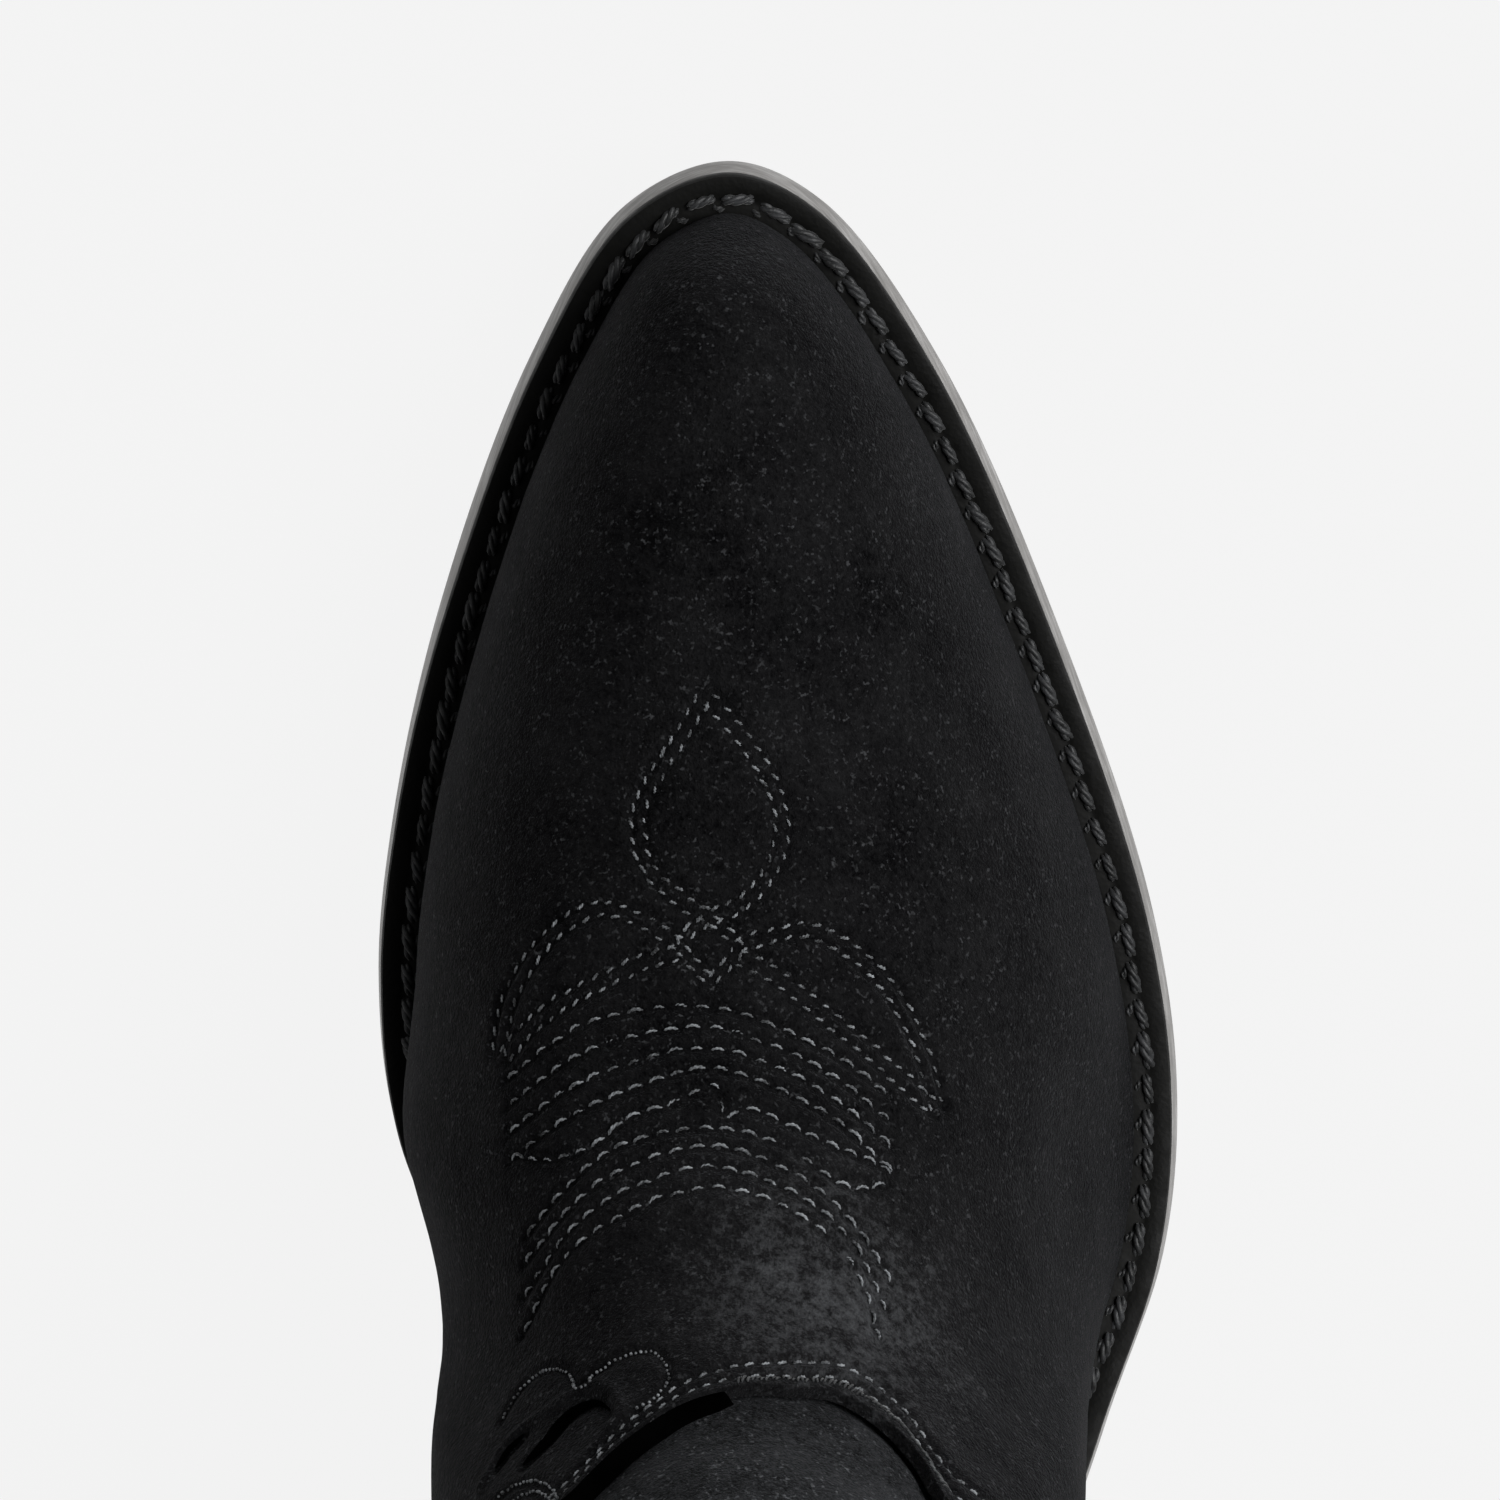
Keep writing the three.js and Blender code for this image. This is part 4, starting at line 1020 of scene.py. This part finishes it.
def stiffener(name, node, angle, share, top_levels, grid_size):
    """A board under the upper; share is the part of the panel's width that it takes."""
    def narrow(u, s):
        return angle(0.5 + (u - 0.5) * share, s)

    a, s = panel_grid(narrow, bottom_level, lambda u: mix(*top_levels, (2 * u - 1) ** 2), *grid_size)
    depth = SECOND_LAYER + BOARD_THICK
    made = shell(name, under(a, s, SECOND_LAYER), under(a, s, depth), BOARD, bevel=THIN_BEVEL)
    finished(made, "board", node)


stiffener("toe_board", "toe_puff", front_angle, PUFF_SHARE, PUFF_LEVELS, (120, 60))
stiffener("heel_board", "heel_stiffener", back_angle, STIFFENER_SHARE, STIFFENER_LEVELS, (60, 50))
lining("vamp_inside", "vamp_lining", front_angle, 0, LINING_JOIN - JOIN_PLAY, (90, 70))
lining("heel_inside", "heel_lining", back_angle, 0, LINING_JOIN - JOIN_PLAY, (70, 60))
lining("shaft_inside_front", "shaft_lining_front", front_angle, LINING_JOIN, TOP_LEVEL, (90, 80))
lining("shaft_inside_back", "shaft_lining_back", back_angle, LINING_JOIN, TOP_LEVEL, (70, 80))


# ---------- The sole ----------
GAP = 0.3
HEEL_INSET = 0.8
SOLE_STATIONS = 240
SOLE_ROWS = 14
CLOSE_CUT = 0.5  # the largest extra width of the sole's edge on the inner side
EDGE_ZONE = 3  # a smaller inset than this is part of the sole's edge
TRIM_START = (110, 150)
TRIM_END = (222, 262)


def trim(t):
    """How fully the inner side of the sole is cut closer, which thins its edge from above."""
    return smooth(t, *TRIM_START) * (1 - smooth(t, *TRIM_END))


def sole_piece(name, profile, material):
    """A closed slab of the sole; profile is its edge as (inset, height), from bottom to top."""
    shares = (1 - np.cos(np.linspace(0, math.pi, SOLE_STATIONS))) / 2
    left, right = [], []
    for inset, height in profile:
        sides = Sides(inset)
        t = mix(sides.back, sides.front, shares)
        z = underside(t) + height
        inner = sides.inner(t)
        if inset < EDGE_ZONE:
            inner = mix(inner, Sides(inset * (1 - CLOSE_CUT)).inner(t), trim(t))
        left.append(np.stack([sides.outer(t), t, z], -1))
        right.insert(0, np.stack([inner, t, z], -1))
    inward = np.linspace(0, 1, SOLE_ROWS)[1:-1]
    top = [mix(left[-1], right[0], share) for share in inward]
    bottom = [mix(right[-1], left[0], share) for share in inward]
    return loft(name, np.stack(left + top + right + bottom, axis=1), material)


def on_sole(loop, height):
    """Points at a height over the underside, along a loop of (t, x)."""
    return np.stack([loop[:, 1], loop[:, 0], underside(loop[:, 0]) + height], -1)


def edge_strip(name, section, keep, material):
    """A section of (inset, height) points swept along part of the sole's edge."""
    medial = (OUTLINE[:, 1] > 0) * trim(OUTLINE[:, 0])
    rings = []
    for inset, height in section:
        cut = inset_loop(inset - CLOSE_CUT * min(inset, 1))
        rings.append(on_sole(mix(inset_loop(inset), cut, medial[:, None])[keep], height))
    return loft(name, np.stack(rings, axis=1), material, 35)


PIN_SIDES = 24


def drilled(piece, holes, radius, low, high):
    """Cuts upright round holes at (x, t) places, from one height to another."""
    bm = bmesh.new()
    for x, t in holes:
        centre = row((x, t, (low + high) / 2)).tolist()
        bmesh.ops.create_cone(bm, cap_ends=True, segments=PIN_SIDES, radius1=radius * MM, radius2=radius * MM,
                              depth=(high - low) * MM, matrix=Matrix.Translation(centre))
    cutter = new_object("cutter", [], [], piece.active_material)
    bm.to_mesh(cutter.data)
    bm.free()
    cut = piece.modifiers.new("holes", "BOOLEAN")
    cut.object = cutter
    cut.solver = "EXACT"
    bpy.context.view_layer.update()
    made = bpy.data.meshes.new_from_object(piece.evaluated_get(bpy.context.evaluated_depsgraph_get()))
    piece.modifiers.clear()
    piece.data = made
    bpy.data.objects.remove(cutter)
    return piece


def pin(name, x, t, outline, material):
    """A turned pin; outline is its side as (radius, height) from bottom to top."""
    turn = np.linspace(0, 2 * math.pi, PIN_SIDES, endpoint=False)
    rings = [np.stack([x + r * np.cos(turn), t + r * np.sin(turn), np.full(PIN_SIDES, z)], -1)
             for r, z in outline]
    return loft(name, np.stack(rings), material, 50)


PEG_ROWS = 4
PEG_FIRST = 8
PEG_PITCH = 12
PEG_RADIUS = 1.2
PEG_CLEARANCE = 0.1
PEG_DRILL = (-5, 60)  # right through the sole, wherever it is
PEG_SIDE = [(0.9, 0.2), (PEG_RADIUS, 0.45), (PEG_RADIUS, 4.2), (0.8, 4.4)]
PEG_LINE = Sides(6)
PEG_PLACES = []
for i in range(PEG_ROWS):
    t = HEEL_LENGTH + PEG_FIRST + PEG_PITCH * i
    PEG_PLACES += [(float(PEG_LINE.inner(t)), t), (float(PEG_LINE.outer(t)), t)]
OUTSOLE_EDGE = [(1.4, 0), (0.5, 0.08), (0.08, 0.5), (0.02, 0.9), (0.3, 2.2), (0.62, 3.4), (0.86, 4.3),
                (1.05, 4.7), (1.5, OUTSOLE_THICK)]
outsole = sole_piece("outsole_body", OUTSOLE_EDGE, SOLE_LEATHER)
finished(drilled(outsole, PEG_PLACES, PEG_RADIUS + PEG_CLEARANCE, *PEG_DRILL), "sole_leather", "outsole")
for i, (x, t) in enumerate(PEG_PLACES):
    z = float(underside(t))
    peg = pin(f"sole_peg_{i + 1}", x, t, [(radius, z + height) for radius, height in PEG_SIDE], PEG_WOOD)
    finished(peg, "peg_wood", f"waist_peg_{i + 1}")

STITCH_GROOVE = 7.85
WELT_DEPTH = 8.5
WELT_SECTION = [(1.15, 5.0), (0.98, 5.3), (0.95, 6.6), (1.02, 7.5), (1.25, 7.95), (1.7, WELT_TOP),
                (3.1, 8.12), (3.6, 7.95), (4.1, STITCH_GROOVE), (4.6, 7.95), (5.1, WELT_TOP), (6.2, WELT_TOP),
                (WELT_DEPTH, WELT_TOP), (WELT_DEPTH, 5.0)]
front_part = np.flatnonzero(OUTLINE[:, 0] > HEEL_LENGTH + GAP)
back_part = np.flatnonzero(OUTLINE[:, 0] < HEEL_LENGTH)
split = int(np.argmax(np.diff(back_part))) + 1
back_part = np.concatenate([back_part[split:], back_part[:split]])
finished(edge_strip("welt_strip", WELT_SECTION, front_part, WELT_LEATHER), "welt_leather", "welt")
finished(edge_strip("rand_strip", WELT_SECTION, back_part, WELT_LEATHER), "welt_leather", "heel_rand")
SOCK_EDGE = [(14.7, 12.1), (14.4, 12.4), (14.4, 13.0), (14.8, 13.35)]
finished(sole_piece("sock_cover", SOCK_EDGE, LINING), "lining_leather", "sock_liner")

# ---------- The heel ----------
CAP_THICK = 6
LIFT_THICK = 6
LIFT_COUNT = 5
BREAST_POINTS = 40
seat_curve = evenly(inset_loop(HEEL_INSET)[back_part], 150)
breast = np.linspace(seat_curve[-1, 1], seat_curve[0, 1], BREAST_POINTS + 2)[1:-1]
SEAT = np.vstack([seat_curve, np.stack([np.full(BREAST_POINTS, HEEL_LENGTH), breast], -1)])
SEAT_MIDDLE = np.array([HEEL_LENGTH / 2, 0.0])
FACE_INSET = 1.5  # the ring that a lift's flat faces start from
LIFT_PLAY = 0.12  # how far a lift reaches into the gap beside it


def heel_ring(z, inset=0.0):
    """The heel's outline at a height, drawn in by an inset. It never rises above the sole's underside."""
    k = mix(HEEL_TAPER, 1, z / HEEL_SEAT)
    inward = unit(SEAT_MIDDLE - SEAT) * inset
    t = HEEL_LENGTH - (HEEL_LENGTH - SEAT[:, 0]) * k + inward[:, 0]
    x = SEAT[:, 1] * k + inward[:, 1]
    return np.stack([x, t, np.minimum(z, underside(t) + 0.05)], -1)


def heel_block(name, low, high, material, edge=0.22):
    places = [(low, FACE_INSET), (low, edge), (low + edge, 0), ((low + high) / 2, 0), (high - edge, 0),
              (high, edge), (high, FACE_INSET)]
    return loft(name, np.stack([heel_ring(*place) for place in places]), material, 60)


NAIL_COUNT = 5
NAIL_ARC = (17, 12.75)  # the half width and the depth of the nails' arc
NAIL_BACK = 8
NAIL_HOLE = 1.6
NAIL_DRILL = (-3, 4)
NAIL_SIDE = [(0.7, 0.35), (1.35, 0.6), (1.35, 1.1), (0.9, 1.3), (0.9, 11)]
NAIL_MIDDLE = HEEL_LENGTH - HEEL_LENGTH * HEEL_TAPER / 2 + NAIL_BACK
NAIL_PLACES = []
for i in range(NAIL_COUNT):
    turn = math.pi * (i / (NAIL_COUNT - 1) - 0.5)
    NAIL_PLACES.append((NAIL_ARC[0] * math.sin(turn), NAIL_MIDDLE - NAIL_ARC[1] * math.cos(turn)))
cap = heel_block("heel_top_piece", 0, CAP_THICK + 0.1, RUBBER, 0.5)
finished(drilled(cap, NAIL_PLACES, NAIL_HOLE, *NAIL_DRILL), "rubber", "heel_cap")
for i in range(LIFT_COUNT):
    bottom = CAP_THICK + GAP + i * (LIFT_THICK + GAP)
    top = bottom + LIFT_THICK if i < LIFT_COUNT - 1 else HEEL_SEAT
    lift = heel_block(f"heel_layer_{i + 1}", bottom - LIFT_PLAY, top + LIFT_PLAY, STACKED)
    finished(lift, "stacked_leather", f"heel_lift_{i + 1}")
for i, (x, t) in enumerate(NAIL_PLACES):
    finished(pin(f"nail_{i + 1}", x, t, NAIL_SIDE, BRASS), "brass", f"heel_nail_{i + 1}")

# ---------- Binding, piping and pull straps ----------
round_angles = np.linspace(-math.pi, math.pi, 361)[:-1]
BINDING = [(0.2, 2.4, 0), (0.2, 1.9, 0), (0.12, 1.72, 0), (0.02, 1.7, 0), (0, 1.85, 1.0), (0, 2.6, 1.75),
           (0, 4.1, 1.95), (0, 5.6, 1.75), (0, 6.4, 1.0), (0.02, 6.5, 0), (0.12, 6.45, 0), (0.2, 6.3, 0),
           (0.2, 5.7, 0)]
BINDING_ROW = (0.15, 1.68, 0)


def binding_ring(drop, depth, rise):
    """A line round the top edge, by levels dropped, depth under the surface and millimetres raised."""
    points = under(round_angles, TOP_LEVEL - drop, np.full(len(round_angles), depth))
    points[:, 2] += rise
    return points


binding = np.stack([binding_ring(*place) for place in BINDING], axis=1)
finished(loft("top_edge_binding", binding, SUEDE, 60, closed=True), "suede", "top_binding")

STRAP_WIDTH = 26
STRAP_THICK = 2.2
STRAP_TAIL = 46
STRAP_RISE = 17
STRAP_STITCH_INSET = 1.7
STRAP_STANDS = 0.7  # how far its outer tail stands off the shaft
PIPING_RADIUS = 1.3
PIPING_STANDS = 0.7  # how far the cord's middle stands over the shaft


def strap_path(side):
    """The middle of a folded strap, as (x, z) points with their outward normals, and its place along t."""
    top, low = (surface(side * float(seam_angle(s)), s) for s in (TOP_LEVEL, TOP_LEVEL - 1.2))
    slope = (abs(top[0]) - abs(low[0])) / (top[2] - low[2])
    half_depth = (front_t(TOP_LEVEL) - back_t(TOP_LEVEL)) / 2
    sag = abs(top[0]) * (1 - math.sqrt(1 - (STRAP_WIDTH / 2 / half_depth) ** 2))
    outside = abs(top[0]) - SECOND_LAYER + STRAP_STANDS + STRAP_THICK / 2
    inside = abs(top[0]) - UPPER_DEPTH - GAP - 2 * sag - STRAP_THICK / 2
    radius, middle = (outside - inside) / 2, (outside + inside) / 2
    crown = top[2] + STRAP_RISE - STRAP_THICK / 2 - radius
    tail = np.linspace(top[2] - STRAP_TAIL, top[2], 24)
    up = np.linspace(top[2], crown, 5)[1:-1]
    turn = np.linspace(0, math.pi, 22)
    lean = slope * (tail - top[2])
    path = np.vstack([
        np.stack([outside + lean, tail], -1),
        np.stack([np.full(3, outside), up], -1),
        np.stack([middle + radius * np.cos(turn), crown + radius * np.sin(turn)], -1),
        np.stack([np.full(3, inside), up[::-1]], -1),
        np.stack([inside + lean, tail], -1)[::-1],
    ])
    along = unit(np.gradient(path, axis=0))
    return path, np.stack([along[:, 1], -along[:, 0]], -1), float(top[1])


def strap_points(side, path, normals, middle, across, height):
    """Points of a strap at an offset across it and a height over its middle."""
    x = side * (path[:, 0] + normals[:, 0] * height)
    return np.stack([x, np.full(len(x), middle + across), path[:, 1] + normals[:, 1] * height], -1)


STRAP_HALF_SECTION = [(12.7, -1.1), (13, -0.7), (13, 0.6), (12.6, 1.0), (11.9, 1.1), (11.3, 0.95),
                      (10.6, 1.1)]
STRAP_SECTION = ([(-across, height) for across, height in STRAP_HALF_SECTION] + [(0, STRAP_THICK / 2)]
                 + STRAP_HALF_SECTION[::-1])
STRAP_ROW = STRAP_WIDTH / 2 - STRAP_STITCH_INSET
CROSS_ROW = 10.5
CROSS_STATIONS = (1, 3, 20)


def pull_strap(name, side):
    """A pull strap over the top edge, and the runs of its stitches."""
    path, normals, middle = strap_path(side)
    rings = np.stack([strap_points(side, path, normals, middle, *place) for place in STRAP_SECTION], axis=1)
    finished(loft(f"strap_{name}", rings, SUEDE, 50), "suede", f"pull_strap_{name}")
    away = np.stack([side * normals[:, 0], 0 * normals[:, 0], normals[:, 1]], -1)
    rows = []
    for across in (-STRAP_ROW, STRAP_ROW):
        points = strap_points(side, path, normals, middle, across, STRAP_THICK / 2 - 0.1)
        rows.append((points[1:-1], away[1:-1]))
    for station in CROSS_STATIONS:
        ends = [strap_points(side, path, normals, middle, across, STRAP_THICK / 2)[station]
                for across in (-CROSS_ROW, CROSS_ROW)]
        rows.append((np.linspace(*ends, 20), np.tile(away[station], (20, 1))))
    return rows


def piping(name, side):
    """The cord in a side seam, up to just below the strap's tail."""
    s = np.linspace(VAMP_SIDE_LEVEL + 0.25, TOP_LEVEL - 0.5, 200)
    cord = under(side * seam_angle(s), s, np.full(len(s), SECOND_LAYER - PIPING_STANDS))
    tail = strap_path(side)[0][0, 1]
    cord = cord[cord[:, 2] < tail - PIPING_RADIUS]
    finished(tube(f"seam_piping_{name}", cord, PIPING_RADIUS, SUEDE), "suede", f"piping_{name}")


strap_rows = []
for side_name, side in (("medial", 1), ("lateral", -1)):
    strap_rows += pull_strap(side_name, side)
    piping(side_name, side)


# ---------- Stitches ----------
STITCH_SIDES = 6


def stitch_shape(length, radius, strands=1, arch=0.25, bow=0.0, twist=1.6, rings=7):
    """One stitch along X, of twisted strands arched up and bowed sideways: points, side faces, end faces."""
    sides = STITCH_SIDES
    v = np.linspace(0, 1, rings)
    hump = 1 - (2 * v - 1) ** 2
    taper = np.clip(1 - np.abs(2 * v - 1) ** 5, 0.12, 1) ** 0.5
    turn = np.linspace(0, 2 * math.pi, sides, endpoint=False)
    spread = 0 if strands == 1 else radius * 0.5
    thick = radius if strands == 1 else radius * 0.58
    points, faces, ends = [], [], []
    for k in range(strands):
        lay = 2 * math.pi * k / strands + twist * math.pi * v
        y = spread * np.cos(lay) + bow * hump
        z = spread * np.sin(lay) * 0.8 + arch * (hump - 0.7)
        ring = np.stack([
            np.broadcast_to(((v - 0.5) * length)[:, None], (rings, sides)),
            y[:, None] + np.cos(turn) * (thick * taper)[:, None],
            z[:, None] + np.sin(turn) * (thick * taper)[:, None],
        ], -1)
        first = k * rings * sides
        last = first + (rings - 1) * sides
        points.append(ring.reshape(-1, 3))
        faces.append(quads(rings, sides, wrap=True) + first)
        ends += [np.arange(first, first + sides)[::-1], np.arange(last, last + sides)]
    return np.vstack(points), np.vstack(faces), np.array(ends)


STITCH_SWING = 0.07  # radians
STITCH_SHIFT = 0.07
STITCH_SPREAD = 0.1  # as a share of its size


def frames_along(run, pitch, slant):
    """Places for stitches along a run of points and normals, with their three axes."""
    points, normals = run
    length = lengths(points)
    count = max(1, int(round(length[-1] / pitch)))
    at = (np.arange(count) + 0.5) * length[-1] / count
    normal = unit(at_lengths(normals, length, at))
    along = unit(at_lengths(points, length, at + LINE_STEP) - at_lengths(points, length, at - LINE_STEP))
    along = unit(along - normal * np.sum(along * normal, axis=1, keepdims=True))
    across = np.cross(normal, along)
    angle = slant + RANDOM.normal(0, STITCH_SWING, count)
    turned_along = along * np.cos(angle)[:, None] - across * np.sin(angle)[:, None]
    axes = np.stack([turned_along, np.cross(normal, turned_along), normal], axis=1)
    return at_lengths(points, length, at), axes


def sewn(name, runs, pitch, shape, material, lift=0.08, slant=0.0, slot="thread", nodes=()):
    """One piece of thread work: a stitch at every pitch along each run of points and normals."""
    base, faces, ends = shape
    all_points, all_faces, start = [], [], 0
    for run in runs:
        if len(run[0]) < 4:
            continue
        place, axes = frames_along(run, pitch, slant)
        count = len(place)
        local = base[None] * (1 + RANDOM.normal(0, STITCH_SPREAD, (count, 1, 1)))
        shift = RANDOM.normal(0, STITCH_SHIFT, (count, 3))
        world = np.einsum("nvk,nkc->nvc", local, axes) + (place + shift + axes[:, 2] * lift)[:, None]
        all_points.append(world.reshape(-1, 3))
        offsets = start + np.arange(count) * len(base)
        for corners in (faces, ends):
            all_faces += (corners[None] + offsets[:, None, None]).reshape(-1, corners.shape[1]).tolist()
        start += count * len(base)
    made = new_object(name, row(np.vstack(all_points)), all_faces, material)
    made.data.shade_smooth()
    return finished(made, slot, *nodes)


def hugged(tree, points, outwards):
    """Points moved onto a finished surface, with its normals."""
    hits, normals = [], []
    for point, away in zip(points, outwards):
        hit, normal, _, _ = tree.find_nearest(Vector(point))
        hits.append(hit[:])
        normals.append(facing(normal, Vector(away)))
    return np.array(hits), np.array(normals)


def on_panel(tree, lines, depth=0):
    """Runs on a panel's finished face, along lines of (angle, level)."""
    return [hugged(tree, under(a, s, np.full(len(a), depth)), outward(a, s)) for a, s in lines]


FINE = stitch_shape(1.15, 0.2, strands=2, arch=0.16, twist=2.5)
LONG = stitch_shape(2.0, 0.2, strands=2, arch=0.3, bow=0.32, twist=3.5, rings=9)
BEAD = stitch_shape(0.36, 0.2, arch=0.05, rings=5)
sewn("toe_bug_stitches", [dropped(vamp_tree, line) for line in BUG], 2.05, FINE, FANCY_THREAD, slant=0.35)
sewn("wrinkle_stitches", [dropped(vamp_tree, line[::-1]) for line in WRINKLES], 2.75, LONG, FANCY_THREAD)
sewn("scroll_stitches", [dropped(vamp_tree, line) for line in LOBES], 0.74, BEAD, FANCY_THREAD)
sewn("vamp_edge_stitches", on_panel(vamp_tree, VAMP_ROWS), 2.0, FINE, FANCY_THREAD, slant=0.2)

SATIN = stitch_shape(1.7, 0.15, arch=0.12, bow=0.1)
satin_rows = edge_places(front_angle, vamp_top, stitch_drop, (0.28,), (0.325, 0.505))
sewn("tongue_satin", on_panel(vamp_tree, satin_rows), 0.62, SATIN, SATIN_THREAD, slant=1.1)
sewn("counter_edge_stitches", on_panel(counter_tree, COUNTER_ROWS), 2.3, FINE, FANCY_THREAD)
for side_name, tree, pattern in (("front", front_tree, front_pattern), ("back", back_tree, back_pattern)):
    sewn(f"shaft_{side_name}_stitches", on_panel(tree, pattern, SECOND_LAYER), 2.6, LONG, FANCY_THREAD)
binding_away = outward(round_angles, np.full(len(round_angles), TOP_LEVEL - BINDING_ROW[0]))
sewn("binding_stitches", [(binding_ring(*BINDING_ROW), binding_away)], 2.6, FINE, FANCY_THREAD)
sewn("strap_stitches", strap_rows, 2.4, FINE, FANCY_THREAD)

SEAM_INSET = 4.1
SEAM_START = HEEL_LENGTH + 4
SEAM_PITCH = 5.0
KNOT_INSET = SEAM_INSET + 1.05
KNOT_HEIGHT = 7.9
LOCK = stitch_shape(4.4, 0.72, strands=3, arch=0.35, rings=9)
KNOT = stitch_shape(1.7, 0.42, strands=2, arch=0.2, bow=0.2)


def welt_run(inset, height):
    points = on_sole(inset_loop(inset)[OUTLINE[:, 0] > SEAM_START], height)
    return points, np.tile([0.0, 0.0, 1.0], (len(points), 1))


sewn("welt_stitches", [welt_run(SEAM_INSET, STITCH_GROOVE)], SEAM_PITCH, LOCK, WELT_THREAD, 0.4, 0.13,
     nodes=("welt_thread",))
sewn("welt_knots", [welt_run(KNOT_INSET, KNOT_HEIGHT)], SEAM_PITCH, KNOT, WELT_THREAD, 0.25, -0.5)

# ---------- Finishes of the CAD nodes that stay ----------
for node, material in NODE_LOOKS.items():
    mesh = bpy.data.objects[node].data
    mesh.materials.clear()
    mesh.materials.append(material)

# ---------- Floor, light and camera ----------
FLOOR_HALF = 15
PALE_GLOW = 0.885
ROOM_GLOW = 0.035
WHITE = (1, 1, 1, 1)
floor_look = Look("floor", Roughness=1.0, Specular_IOR_Level=0.0, Emission_Strength=PALE_GLOW)
floor_look.shader.inputs["Base Color"].default_value = (0.02, 0.02, 0.02, 1)
floor_look.shader.inputs["Emission Color"].default_value = WHITE
floor_corners = [(x * FLOOR_HALF, y * FLOOR_HALF, 0) for x, y in ((-1, -1), (1, -1), (1, 1), (-1, 1))]
floor = new_object("floor", floor_corners, [(0, 1, 2, 3)], floor_look.material)

world = bpy.data.worlds.new("studio")
world.use_nodes = True
sky = world.node_tree.nodes
sky["Background"].inputs["Color"].default_value = WHITE
direction = sky.new("ShaderNodeTexCoord")
parts = sky.new("ShaderNodeSeparateXYZ")
glow = sky.new("ShaderNodeMapRange")  # the pale wall low down, and the dim room above it
for socket, value in (("From Min", 0.03), ("From Max", 0.07), ("To Min", PALE_GLOW), ("To Max", ROOM_GLOW)):
    glow.inputs[socket].default_value = value
world.node_tree.links.new(direction.outputs["Generated"], parts.inputs[0])
world.node_tree.links.new(parts.outputs["Z"], glow.inputs["Value"])
world.node_tree.links.new(glow.outputs["Result"], sky["Background"].inputs["Strength"])
bpy.context.scene.world = world
bpy.context.scene.view_settings.view_transform = "Standard"


def soft_light(name, place, aim, size, power):
    """A square light, with its places and size in metres and its power in watts."""
    light = bpy.data.lights.new(name, "AREA")
    light.shape = "SQUARE"
    light.size = size
    light.energy = power
    made = bpy.data.objects.new(name, light)
    made.location = place
    made.rotation_euler = (Vector(aim) - Vector(place)).to_track_quat("-Z", "Y").to_euler()
    bpy.context.scene.collection.objects.link(made)


soft_light("key", place=(-1.0, -0.42, 1.4), aim=(0, -0.02, 0.05), size=1.0, power=31)
soft_light("fill", place=(1.4, -0.4, 1.3), aim=(0, 0, 0.05), size=1.2, power=3)

CAMERA_TILT = math.radians(10)
CAMERA_DISTANCE = 1400
CAMERA_AIM = (1.44, 225.8, 0)
camera_data = bpy.data.cameras.new("camera")
camera_data.lens = 256.8
camera_data.sensor_width = 36
camera_data.clip_end = 100
camera = bpy.data.objects.new("camera", camera_data)
back = Vector((0, -math.sin(CAMERA_TILT), math.cos(CAMERA_TILT)))
up = Vector((0, -math.cos(CAMERA_TILT), -math.sin(CAMERA_TILT)))
camera.matrix_world = Matrix.LocRotScale(
    Vector(row(CAMERA_AIM).tolist()) + back * CAMERA_DISTANCE * MM,
    Matrix([up.cross(back), up, back]).transposed(), None,
)
bpy.context.scene.collection.objects.link(camera)
bpy.context.scene.camera = camera

bpy.context.view_layer.update()
